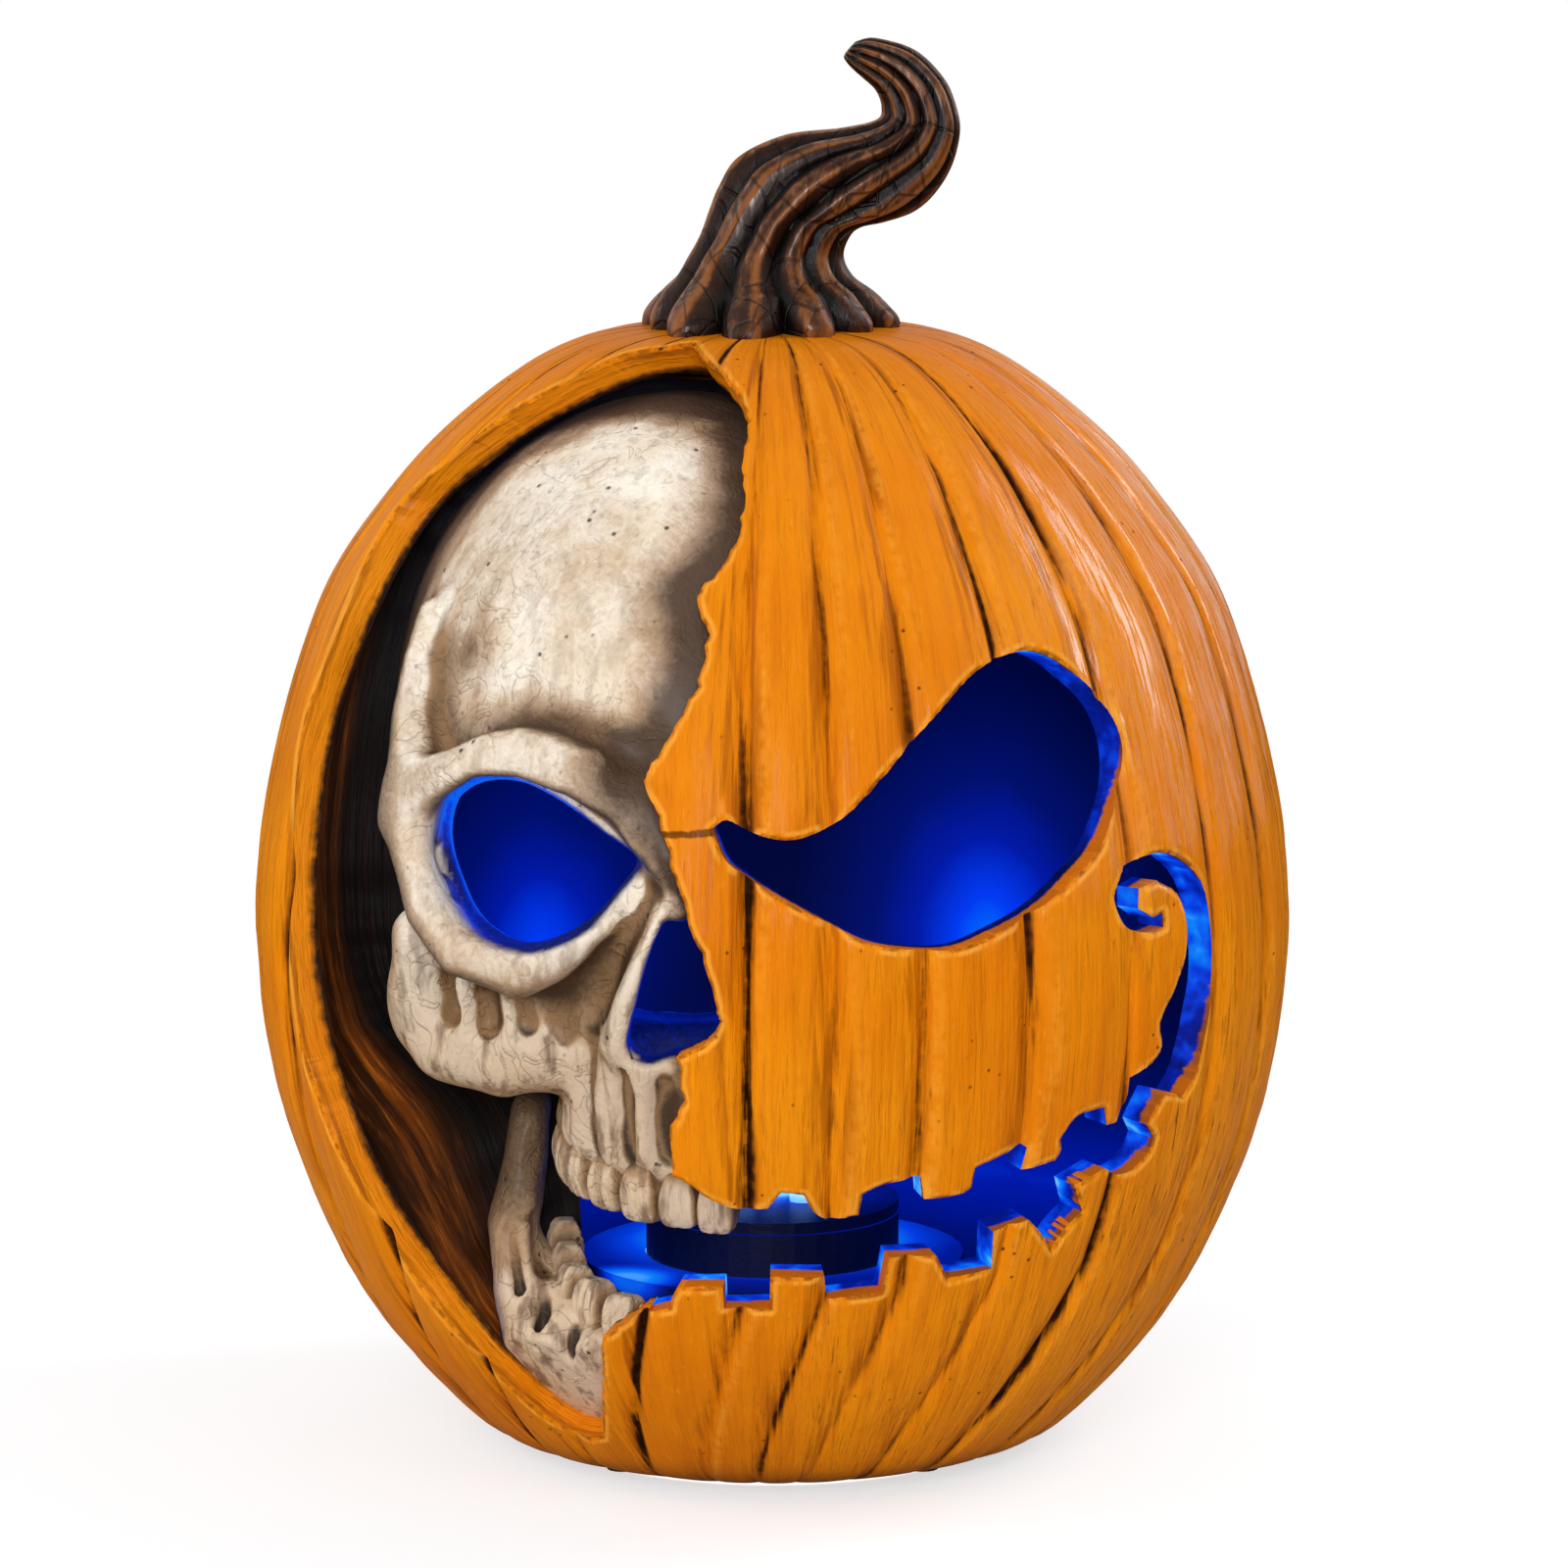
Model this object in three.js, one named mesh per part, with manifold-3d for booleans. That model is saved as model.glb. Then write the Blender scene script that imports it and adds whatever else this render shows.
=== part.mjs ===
// Light-up jack-o'-lantern: a hollow ribbed pumpkin with a half skull set in its side, and an LED light in its base.
// Millimetres, +Z up, the face looks along -Y, origin on the ground under the middle of the body.
import * as THREE from 'three';
import { mergeVertices } from 'three/addons/utils/BufferGeometryUtils.js';
import Module from 'manifold-3d';

const wasm = await Module();
wasm.setup();

// Pumpkin body
const bodyRadius = 118;
const bodyHeight = 256;
const wall = 8;
const ribDepth = 2.4;
const roundSteps = 36;
const fitGap = 0.3;
const overrun = 5;

// Well in the base, a raised floor over the bore that takes the light
const deckHeight = 42;
const deckThickness = 5;
const boreClearance = 0.5;
const wellWall = 2;
const cavityFloor = 9;

// Foot pads
const padRadius = 3.5;
const padThickness = 1;
const padAngles = [45, 135, 225, 315];

// Stem
const stemFootRadius = 30;
const stemHeight = 70;
const stemRidges = 10;
const stemPegRadius = 9;
const stemPegLength = 9;

// Skull, jaw and liner
const skullThickness = 5;
const skullBlend = 9;
const browRadius = 6.5;
const rimRadius = 5;
const templeRadius = 4;
const archRadius = 6.5;
const toothDepth = 6.4;
const toothHeightShare = 0.051;
const toothFillShare = 0.93;
const toothRootShare = 0.84;
const linerThickness = 2.5;

// Light housing
const drumMargin = 1.9;
const flangeReach = 7.5;
const flangeThickness = 4;
const flangeSetback = 2.2;
const neckStep = 5;
const potHeight = 12.6;
const mouldWall = 1.8;
const lidThickness = 2.6;
const spigotDepth = 1.5;
const boardThickness = 1.6;
const boardLedge = 2.2;

// LEDs
const ledRadius = 3;
const ledRise = 5;
const ledBody = 9.3;
const ledRing = 8;
const ledAngles = [330, 210, 90];

// Battery bay, three AAA cells side by side along X
const cellRadius = 5.25;
const cellLength = 43.5;
const nubRadius = 1.9;
const nubLength = 1;
const cellSpacing = 0.6;
const cellPlay = 0.4;
const plateThickness = 0.5;
const plateWidth = 7;
const springLength = 4.4;
const springRadius = 3.4;
const springTipRadius = 2;
const springWire = 0.35;
const springTurns = 2.5;

// Battery door
const doorThickness = 2.2;
const doorMargin = 1.7;
const hingeRodRadius = 0.9;
const hingeClearance = 0.4;
const hingeSink = 0.27;
const hingeReach = 1;
const hingeEnd = 2;
const earRadius = 5;
const earReach = 3;

// Screws
const doorScrewRadius = 1.3;
const doorScrewHeadRadius = 2.6;
const doorScrewHeadHeight = 1.3;
const doorScrewLength = 7.8;
const doorScrewPlay = 1;
const bossWall = 1.7;
const screwRadius = 1.5;
const screwHeadRadius = 3;
const screwHeadHeight = 1.7;
const screwLength = 12;
const screwAngles = [90, 210, 330];
const slotLengthShare = 0.7;

// Slide switch
const switchLength = 11;
const switchWidth = 5.6;
const switchHeight = 5;
const knobLength = 3.4;
const knobWidth = 2.6;
const knobTravel = 4;
const knobProud = 1.5;
const knobDepth = 2;

// Leads
const wireRadius = 0.8;

// Light module heights
const flangeBottom = flangeSetback;
const flangeTop = flangeBottom + flangeThickness;
const doorTop = flangeBottom + doorThickness;
const ledgeBottom = doorTop + fitGap;
const cellBottom = doorTop + cellPlay;
const cellAxis = cellBottom + cellRadius;
const bayTop = cellAxis + cellRadius + 2 * fitGap;
const blockTop = bayTop + mouldWall;
const drumTop = deckHeight - deckThickness - fitGap;
const lidTop = deckHeight + potHeight;
const lidBottom = lidTop - lidThickness;
const neckTop = lidBottom - fitGap;
const ledTop = lidTop + ledRise;
const ledBottom = ledTop - ledBody;
const boardTop = ledBottom - fitGap;
const boardBottom = boardTop - boardThickness;
const ledgeTop = boardBottom - fitGap;
const screwHeadBottom = flangeBottom + fitGap;
const screwSeat = screwHeadBottom + screwHeadHeight;
const screwTop = screwSeat + screwLength;
const doorScrewHeadBottom = flangeBottom + fitGap / 2;
const doorScrewSeat = doorScrewHeadBottom + doorScrewHeadHeight;
const doorScrewTop = doorScrewSeat + doorScrewLength;
const switchBottom = flangeTop + fitGap;

// Battery bay sizes
const bayHalf = (4 * fitGap + plateThickness + nubLength + cellLength + springLength) / 2;
const bayHalfWidth = 3 * cellRadius + cellSpacing + cellPlay;
const doorHalfWidth = bayHalfWidth + doorMargin;
const doorEnd = bayHalf + doorMargin;
const hingeX = -bayHalf - doorMargin - hingeReach;
const hingeZ = doorTop - hingeSink;
const earX = bayHalf + mouldWall + earReach;
const hingeSwing = Math.hypot(hingeReach + hingeRodRadius, hingeZ - flangeBottom);

// Light module radii, from the battery bay outwards
const drumRadius = Math.hypot(bayHalf, bayHalfWidth) + mouldWall + drumMargin;
const flangeRadius = drumRadius + flangeReach;
const neckRadius = drumRadius - neckStep;
const neckInner = neckRadius - mouldWall;
const boreRadius = drumRadius + boreClearance;
const wellRadius = flangeRadius + boreClearance + wellWall;
const screwRing = (drumRadius + flangeRadius) / 2;
const switchY = -(bayHalfWidth + drumRadius) / 2;

const centre = new THREE.Vector3(0, 0, bodyHeight / 2);
const fullTurn = 2 * Math.PI;
const rad = THREE.MathUtils.degToRad;

// Solids

function solid(geometry) {
  const g = geometry.clone();
  g.deleteAttribute('normal');
  g.deleteAttribute('uv');
  const m = mergeVertices(g, 1e-4);
  return new wasm.Manifold(new wasm.Mesh({
    numProp: 3,
    vertProperties: new Float32Array(m.attributes.position.array),
    triVerts: new Uint32Array(m.index.array),
  }));
}

function join(list) {
  return list.reduce((a, b) => a.add(b));
}

function geometryOf(body) {
  const mesh = body.getMesh();
  const g = new THREE.BufferGeometry();
  g.setAttribute('position', new THREE.BufferAttribute(new Float32Array(mesh.vertProperties), 3));
  g.setIndex(new THREE.BufferAttribute(new Uint32Array(mesh.triVerts), 1));
  const flat = g.toNonIndexed();
  flat.computeVertexNormals();
  return flat;
}

// A block between two corners
function block(x0, x1, y0, y1, z0, z1) {
  const g = new THREE.BoxGeometry(x1 - x0, y1 - y0, z1 - z0);
  g.translate((x0 + x1) / 2, (y0 + y1) / 2, (z0 + z1) / 2);
  return solid(g);
}

// An upright round rod
function rod(radius, x, y, z0, z1, sides = 24) {
  const g = new THREE.CylinderGeometry(radius, radius, z1 - z0, sides);
  g.rotateX(Math.PI / 2);
  g.translate(x, y, (z0 + z1) / 2);
  return solid(g);
}

// A body turned about Z from points of radius and height
function turnedGeometry(points, segments) {
  const g = new THREE.LatheGeometry(points.map(([r, z]) => new THREE.Vector2(r, z)), segments);
  g.rotateX(Math.PI / 2);
  return g;
}

function turned(points, segments) {
  return solid(turnedGeometry(points, segments));
}

// A closed body from rings of equally many points, with a flat fan on each end
function loft(rings, closed = false) {
  const n = rings[0].length;
  const points = rings.flat();
  const index = [];
  const last = closed ? rings.length : rings.length - 1;
  for (let i = 0; i < last; i++) {
    const a = i * n;
    const b = ((i + 1) % rings.length) * n;
    for (let j = 0; j < n; j++) {
      const k = (j + 1) % n;
      index.push(a + j, a + k, b + k, a + j, b + k, b + j);
    }
  }
  if (!closed) {
    const end = (rings.length - 1) * n;
    const faces = capFaces(rings[0]);
    const endFaces = capFaces(rings[rings.length - 1]);
    faces.forEach(([p, q, r]) => index.push(p, r, q));
    endFaces.forEach(([p, q, r]) => index.push(end + p, end + q, end + r));
  }
  return facingOut(points, index);
}

// Triangles over a ring, split in the plane that shows it best
function capFaces(ring) {
  const normal = new THREE.Vector3();
  ring.forEach((p, i) => normal.add(p.clone().cross(ring[(i + 1) % ring.length])));
  const u = Math.abs(normal.z) > Math.max(Math.abs(normal.x), Math.abs(normal.y))
    ? new THREE.Vector3(1, 0, 0) : new THREE.Vector3(0, 0, 1);
  const v = normal.clone().normalize().cross(u).normalize();
  const w = v.clone().cross(normal.clone().normalize());
  const flat = ring.map((p) => new THREE.Vector2(p.dot(w), p.dot(v)));
  const turn = THREE.ShapeUtils.isClockWise(flat) ? -1 : 1;
  return THREE.ShapeUtils.triangulateShape(flat, []).map(([a, b, c]) => (turn > 0 ? [a, b, c] : [a, c, b]));
}

function facingOut(points, index) {
  const g = new THREE.BufferGeometry().setFromPoints(points);
  g.setIndex(index);
  const body = solid(g);
  if (body.volume() > 0) return body;
  const back = [];
  for (let i = 0; i < index.length; i += 3) back.push(index[i], index[i + 2], index[i + 1]);
  g.setIndex(back);
  return solid(g);
}

// Pumpkin profile: shares of the body's radius and height, base to crown
const profileShares = [
  [0.44, 0], [0.545, 0.015], [0.614, 0.038], [0.724, 0.092], [0.806, 0.145], [0.868, 0.2],
  [0.938, 0.28], [0.98, 0.36], [1, 0.46], [0.99, 0.546], [0.959, 0.625], [0.912, 0.704],
  [0.843, 0.783], [0.723, 0.861], [0.614, 0.914], [0.466, 0.966], [0.327, 0.992],
];

function surfaceRadius(z) {
  const rows = [...profileShares, [0, 1]];
  const share = THREE.MathUtils.clamp(z / bodyHeight, 0, 1);
  const i = Math.max(1, rows.findIndex((row) => row[1] >= share));
  const [r0, z0] = rows[i - 1];
  const [r1, z1] = rows[i];
  return bodyRadius * (r0 + (r1 - r0) * (share - z0) / (z1 - z0));
}

// A front point of the pumpkin's surface from its shares across and up
function onSurface([across, up]) {
  const x = across * bodyRadius;
  const z = up * bodyHeight;
  const r = surfaceRadius(z);
  return new THREE.Vector3(x, -Math.sqrt(Math.max(r * r - x * x, 0)), z);
}

function towardCentre(p, scale) {
  return p.clone().sub(centre).multiplyScalar(scale).add(centre);
}

// Profile moved inwards along its normals
function insetProfile(inset) {
  return profileShares.map(([r, z], i) => {
    const a = profileShares[Math.max(i - 1, 0)];
    const b = profileShares[Math.min(i + 1, profileShares.length - 1)];
    const along = new THREE.Vector2((b[0] - a[0]) * bodyRadius, (b[1] - a[1]) * bodyHeight).normalize();
    return [r * bodyRadius - along.y * inset, z * bodyHeight + along.x * inset];
  });
}

// The hollow of the body, made smaller all round by a gap
function hollow(gap) {
  const side = insetProfile(wall + gap).filter(([r, z]) => z > cavityFloor + gap && r > 0);
  const foot = side[0][0];
  return turned([
    [0, cavityFloor + gap], [foot, cavityFloor + gap], ...side, [0, bodyHeight - wall - gap],
  ], roundSteps);
}

// Carved grooves: degrees round from the front, and the share of their depth left at their lips
const grooveTurns = [
  -3, 6.5, 16, 28.5, 42.5, 57.5, 71, 83, 97, 112.2, 127.4, 142.6, 157.8,
  173, 187, 202.2, 217.4, 232.6, 247.8, 263, 277, 291, 305, 319, 332, 345,
];
const grooveLipTurn = 1.6;
const grooveLipShare = 0.32;
const grooveFadeShares = [0.03, 0.999];
const crownShares = [0.05, 0.9988];
const footTwist = 46;
const footTwistShare = 0.22;

function ribbedBody() {
  const columns = grooveTurns.flatMap((turn, i) => {
    const next = grooveTurns[i + 1] ?? grooveTurns[0] + 360;
    const lips = [turn - grooveLipTurn, turn + grooveLipTurn];
    return [[lips[0], grooveLipShare], [turn, 1], [lips[1], grooveLipShare], [(turn + next) / 2, 0]];
  });
  return loft([...profileShares, crownShares].map(([r, z]) => {
    const twist = footTwist * Math.max(0, footTwistShare - z);
    const fade = Math.sin(Math.PI * THREE.MathUtils.clamp(z, ...grooveFadeShares)) ** 0.35;
    return columns.map(([turn, deep]) => {
      const angle = rad(turn - twist) - Math.PI / 2;
      const reach = r * bodyRadius - ribDepth * deep * fade;
      return new THREE.Vector3(reach * Math.cos(angle), reach * Math.sin(angle), z * bodyHeight);
    });
  }));
}

// Openings: shares across (of the radius) and up (of the height) on the front of the pumpkin
const eyeShares = [
  [-0.11, 0.623], [-0.083, 0.63], [-0.039, 0.62], [0.023, 0.614], [0.076, 0.619], [0.138, 0.635],
  [0.254, 0.69], [0.316, 0.72], [0.376, 0.746], [0.456, 0.759], [0.511, 0.753], [0.568, 0.733],
  [0.618, 0.71], [0.647, 0.681], [0.652, 0.65], [0.636, 0.621], [0.601, 0.589], [0.545, 0.565],
  [0.481, 0.544], [0.405, 0.529], [0.337, 0.519], [0.261, 0.52], [0.179, 0.527], [0.105, 0.544],
  [0.023, 0.564], [-0.039, 0.581], [-0.085, 0.597],
];
const grinShares = [
  [-0.23, 0.272], [-0.158, 0.294], [-0.114, 0.304], [-0.061, 0.295], [-0.009, 0.297], [0.016, 0.311],
  [0.057, 0.309], [0.075, 0.294], [0.1, 0.285], [0.159, 0.289], [0.166, 0.308], [0.209, 0.317],
  [0.276, 0.321], [0.28, 0.301], [0.343, 0.302], [0.368, 0.308], [0.375, 0.326], [0.464, 0.343],
  [0.475, 0.339], [0.465, 0.319], [0.525, 0.325], [0.536, 0.333], [0.534, 0.343], [0.565, 0.362],
  [0.617, 0.367], [0.623, 0.35], [0.645, 0.351], [0.667, 0.366], [0.673, 0.388], [0.71, 0.399],
  [0.729, 0.412], [0.724, 0.433], [0.752, 0.46], [0.773, 0.487], [0.775, 0.516], [0.757, 0.542],
  [0.715, 0.557], [0.685, 0.552], [0.685, 0.535], [0.708, 0.526], [0.727, 0.529], [0.729, 0.516],
  [0.694, 0.514], [0.655, 0.524], [0.636, 0.542], [0.636, 0.554], [0.66, 0.572], [0.708, 0.58],
  [0.756, 0.573], [0.804, 0.548], [0.828, 0.511], [0.837, 0.467], [0.824, 0.429], [0.8, 0.383],
  [0.772, 0.362], [0.732, 0.37], [0.701, 0.343], [0.715, 0.329], [0.704, 0.316], [0.674, 0.303],
  [0.648, 0.3], [0.621, 0.31], [0.563, 0.298], [0.578, 0.272], [0.543, 0.256], [0.521, 0.24],
  [0.496, 0.26], [0.477, 0.272], [0.41, 0.265], [0.409, 0.229], [0.327, 0.223], [0.303, 0.247],
  [0.216, 0.248], [0.204, 0.214], [0.101, 0.21], [0.097, 0.231], [-0.004, 0.232], [-0.005, 0.202],
  [-0.09, 0.201], [-0.092, 0.222], [-0.184, 0.22], [-0.19, 0.2], [-0.231, 0.194],
];
// The tall opening: its smooth left edge and its broken right edge, both from the crown down
const nicheLeftShares = [
  [-0.15, 0.996], [-0.186, 0.994], [-0.274, 0.987], [-0.347, 0.974], [-0.43, 0.954], [-0.533, 0.925],
  [-0.634, 0.887], [-0.713, 0.849], [-0.784, 0.795], [-0.847, 0.725], [-0.896, 0.655], [-0.919, 0.575],
  [-0.926, 0.514], [-0.916, 0.457], [-0.894, 0.393], [-0.855, 0.341], [-0.799, 0.281], [-0.716, 0.219],
  [-0.624, 0.161], [-0.514, 0.104], [-0.422, 0.065], [-0.348, 0.05],
];
const nicheRightShares = [
  [-0.147, 0.995], [-0.125, 0.988], [-0.086, 0.974], [-0.06, 0.96], [-0.043, 0.94], [-0.052, 0.909],
  [-0.05, 0.883], [-0.059, 0.859], [-0.091, 0.833], [-0.13, 0.817], [-0.137, 0.803], [-0.118, 0.78],
  [-0.135, 0.744], [-0.158, 0.722], [-0.197, 0.691], [-0.226, 0.67], [-0.233, 0.655], [-0.201, 0.623],
  [-0.176, 0.582], [-0.153, 0.544], [-0.124, 0.511], [-0.101, 0.474], [-0.096, 0.462], [-0.117, 0.445],
  [-0.173, 0.43], [-0.159, 0.392], [-0.185, 0.37], [-0.184, 0.325], [-0.156, 0.318], [-0.114, 0.304],
  [-0.149, 0.248], [-0.19, 0.2], [-0.239, 0.195], [-0.277, 0.181], [-0.316, 0.167], [-0.32, 0.15],
  [-0.316, 0.132], [-0.322, 0.109], [-0.319, 0.093], [-0.321, 0.056],
];
const cutInnerShare = 0.82;
const cutOuterShare = 1.45;

function openingCutter(shares) {
  const front = shares.map(onSurface);
  return loft([front.map((p) => towardCentre(p, cutInnerShare)), front.map((p) => towardCentre(p, cutOuterShare))]);
}

function acrossAt(edge, up) {
  const i = Math.max(1, edge.findIndex((row) => row[1] <= up));
  const [x0, z0] = edge[i - 1];
  const [x1, z1] = edge[i];
  return x0 + (x1 - x0) * THREE.MathUtils.clamp((up - z0) / (z1 - z0), 0, 1);
}

// The tall opening is cut as a curved sheet of levels, so that it follows the pumpkin's surface
function nicheCutter(gap) {
  const across = 5;
  const lowest = nicheRightShares[nicheRightShares.length - 1][1] + gap / bodyHeight;
  const rings = nicheRightShares.map(([broken, level]) => {
    const up = Math.max(level, lowest);
    const left = acrossAt(nicheLeftShares, up) + gap / bodyRadius;
    const right = broken - gap / bodyRadius;
    const row = [];
    for (let k = 0; k <= across; k++) row.push(onSurface([left + (right - left) * k / across, up]));
    const inner = row.map((p) => towardCentre(p, cutInnerShare));
    const outer = row.map((p) => towardCentre(p, 2 - cutInnerShare));
    return [...inner, ...outer.reverse()];
  });
  return loft(rings);
}

function pumpkinShell() {
  const base = rod(wellRadius + fitGap, 0, 0, -overrun, cavityFloor + overrun, roundSteps);
  const pegHole = rod(stemPegRadius + fitGap, 0, 0, bodyHeight - wall - overrun, bodyHeight + overrun);
  const cuts = [hollow(0), base, pegHole, openingCutter(eyeShares), openingCutter(grinShares), nicheCutter(0)];
  return cuts.reduce((body, cut) => body.subtract(cut), ribbedBody());
}

function lightWell() {
  const bore = turned([
    [0, -overrun], [flangeRadius + boreClearance, -overrun],
    [flangeRadius + boreClearance, flangeTop + fitGap], [boreRadius, flangeTop + fitGap],
    [boreRadius, deckHeight - deckThickness], [neckRadius + fitGap, deckHeight - deckThickness],
    [neckRadius + fitGap, deckHeight + overrun], [0, deckHeight + overrun],
  ], roundSteps);
  const pilots = screwPlaces().map(([x, y]) =>
    rod(screwRadius + fitGap, x, y, flangeBottom, screwTop + fitGap, 8));
  const well = rod(wellRadius, 0, 0, 0, deckHeight, roundSteps);
  return [bore, ...pilots].reduce((body, cut) => body.subtract(cut), well);
}

// Stem: left edge, right edge and depth of each level, as shares of its foot radius and height
const stemShares = [
  [-1.026, 0.012, 0.93, 0.012, 0.933], [-0.915, 0.096, 0.797, 0.096, 0.8], [-0.752, 0.16, 0.605, 0.16, 0.617],
  [-0.656, 0.223, 0.538, 0.223, 0.533], [-0.56, 0.293, 0.589, 0.286, 0.5], [-0.486, 0.375, 0.678, 0.315, 0.483],
  [-0.412, 0.451, 0.862, 0.331, 0.467], [-0.265, 0.545, 1.083, 0.362, 0.45], [0.088, 0.615, 1.244, 0.419, 0.417],
  [0.515, 0.637, 1.368, 0.508, 0.367], [0.772, 0.662, 1.426, 0.618, 0.317], [0.808, 0.703, 1.396, 0.703, 0.283],
  [0.764, 0.753, 1.3, 0.794, 0.25], [0.676, 0.788, 1.079, 0.885, 0.207], [0.587, 0.823, 0.785, 0.923, 0.147],
  [0.536, 0.854, 0.646, 0.914, 0.087],
];
const stemGrooveShare = 0.16;
const stemToeShare = 0.3;
const stemSinkShare = 0.16;

function stem() {
  const under = [-1.026, -stemSinkShare, 0.93, -stemSinkShare, 0.933];
  const rings = [under, ...stemShares].map(([lx, lz, rx, rz, depth], level) => {
    const left = new THREE.Vector3(lx * stemFootRadius, 0, bodyHeight + lz * stemHeight);
    const right = new THREE.Vector3(rx * stemFootRadius, 0, bodyHeight + rz * stemHeight);
    const middle = left.clone().add(right).multiplyScalar(0.5);
    const half = right.clone().sub(left).multiplyScalar(0.5);
    const cut = level < 2 ? stemToeShare : stemGrooveShare;
    return Array.from({ length: 2 * stemRidges }, (_, i) => {
      const angle = fullTurn * i / (2 * stemRidges);
      const reach = i % 2 ? 1 - cut : 1;
      const p = middle.clone().addScaledVector(half, reach * Math.cos(angle));
      p.y = reach * depth * stemFootRadius * Math.sin(angle);
      return p;
    });
  });
  const crown = turned([
    [0, 0], ...profileShares.map(([r, z]) => [r * bodyRadius, z * bodyHeight + fitGap]), [0, bodyHeight + fitGap],
  ], 2 * roundSteps);
  const peg = rod(stemPegRadius, 0, 0, bodyHeight - stemPegLength, bodyHeight + stemPegLength);
  return loft(rings).subtract(crown).add(peg);
}

// Skull masses: centre and half sizes as shares (x and y of the body's radius, z of its height)
const skullHeartShares = [-0.322, 0.127, 0.584];
const skullFaceShares = [-0.424, -0.75, 0.576];
const skullMassShares = [
  [-0.169, -0.153, 0.661, 0.551, 0.636, 0.288],
  [-0.508, -0.237, 0.545, 0.203, 0.322, 0.148],
  [-0.339, -0.466, 0.525, 0.288, 0.305, 0.148],
  [-0.203, -0.542, 0.381, 0.203, 0.254, 0.093],
  [-0.186, -0.712, 0.545, 0.085, 0.119, 0.101],
];
// Bars of bone that follow a line of points
const browShares = [
  [-0.69, -0.55, 0.6], [-0.66, -0.61, 0.63], [-0.576, -0.712, 0.665], [-0.466, -0.763, 0.677],
  [-0.356, -0.797, 0.667], [-0.254, -0.822, 0.636], [-0.203, -0.831, 0.591],
];
const templeShares = [
  [-0.668, -0.57, 0.64], [-0.665, -0.5, 0.69], [-0.64, -0.46, 0.74], [-0.6, -0.42, 0.79],
];
const socketRimShares = [
  [-0.22, -0.822, 0.568], [-0.263, -0.814, 0.541], [-0.356, -0.788, 0.503], [-0.466, -0.754, 0.484],
  [-0.576, -0.712, 0.5], [-0.64, -0.655, 0.53], [-0.67, -0.615, 0.576], [-0.675, -0.58, 0.615],
];
const noseSideShares = [
  [-0.203, -0.831, 0.584], [-0.229, -0.822, 0.521], [-0.263, -0.797, 0.459], [-0.288, -0.771, 0.42],
  [-0.237, -0.754, 0.401], [-0.119, -0.763, 0.405],
];
const cheekShares = [
  [-0.64, -0.46, 0.425], [-0.6, -0.52, 0.402], [-0.5, -0.585, 0.396], [-0.43, -0.61, 0.404],
];
const cheekSideShares = [[-0.66, -0.56, 0.5], [-0.66, -0.52, 0.45], [-0.64, -0.47, 0.42]];
const archShares = [[-0.65, -0.492, 0.452], [-0.66, -0.322, 0.435], [-0.67, -0.153, 0.42]];
const gumShares = [
  [-0.365, -0.475, 0.33], [-0.342, -0.6, 0.329], [-0.277, -0.69, 0.328], [-0.186, -0.746, 0.327],
  [-0.085, -0.771, 0.327], [0.017, -0.78, 0.327],
];
// What the mask loses on its right, behind the broken edge: an outline seen from the front
const skullTrimShares = [
  [0.034, 0.98], [0.034, 0.837], [0.017, 0.778], [-0.068, 0.72], [-0.127, 0.654], [-0.11, 0.599],
  [-0.102, 0.553], [-0.034, 0.506], [-0.025, 0.459], [-0.068, 0.42], [-0.051, 0.381], [0.034, 0.342],
  [0.034, 0.2], [0.9, 0.2], [0.9, 0.98],
];
const skullBackShare = -0.13;
const rayShare = 1.3;
const maskTurns = [-66, 50];
const maskRises = [-57, 80];
const orbitShares = [
  [-0.636, 0.584], [-0.619, 0.623], [-0.576, 0.642], [-0.517, 0.65], [-0.449, 0.646], [-0.373, 0.63],
  [-0.305, 0.607], [-0.237, 0.584], [-0.271, 0.556], [-0.331, 0.525], [-0.415, 0.506], [-0.483, 0.502],
  [-0.559, 0.514], [-0.61, 0.545],
];
const noseShares = [
  [-0.169, 0.533], [-0.195, 0.533], [-0.22, 0.502], [-0.237, 0.463], [-0.254, 0.44], [-0.263, 0.428],
  [-0.237, 0.418], [-0.22, 0.414], [-0.178, 0.428], [-0.06, 0.436], [-0.06, 0.533],
];
// Depth of each level of a cut through the bone, and its scale there
const boneCutShares = [[-1, 1.14], [-0.72, 1], [-0.2, 0.86]];
const upperTeethShares = [
  [-0.392, -0.475, 0.303], [-0.382, -0.543, 0.301], [-0.352, -0.613, 0.299], [-0.3, -0.68, 0.297],
  [-0.236, -0.735, 0.294], [-0.164, -0.768, 0.292], [-0.088, -0.785, 0.291], [-0.012, -0.787, 0.291],
];
const lowerTeethShares = [
  [-0.398, -0.373, 0.218], [-0.39, -0.441, 0.206], [-0.374, -0.508, 0.188], [-0.331, -0.57, 0.181],
  [-0.271, -0.619, 0.178], [-0.212, -0.653, 0.179], [-0.146, -0.681, 0.179],
];

function place([x, y, z]) {
  return new THREE.Vector3(x * bodyRadius, y * bodyRadius, z * bodyHeight);
}

function smoothLeast(a, b) {
  const h = Math.max(skullBlend - Math.abs(a - b), 0) / skullBlend;
  return Math.min(a, b) - h * h * skullBlend / 4;
}

function massDistance(p, [x, y, z, rx, ry, rz]) {
  const d = p.clone().sub(place([x, y, z]));
  const half = place([rx, ry, rz]);
  const unit = d.clone().divide(half);
  const k = unit.length();
  return k * (k - 1) / Math.max(unit.divide(half).length(), 1e-9);
}

function barDistance(p, line, radius) {
  let least = Infinity;
  for (let i = 1; i < line.length; i++) {
    const segment = new THREE.Line3(line[i - 1], line[i]);
    const near = segment.closestPointToPoint(p, true, new THREE.Vector3());
    least = Math.min(least, near.distanceTo(p));
  }
  return least - radius;
}

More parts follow.
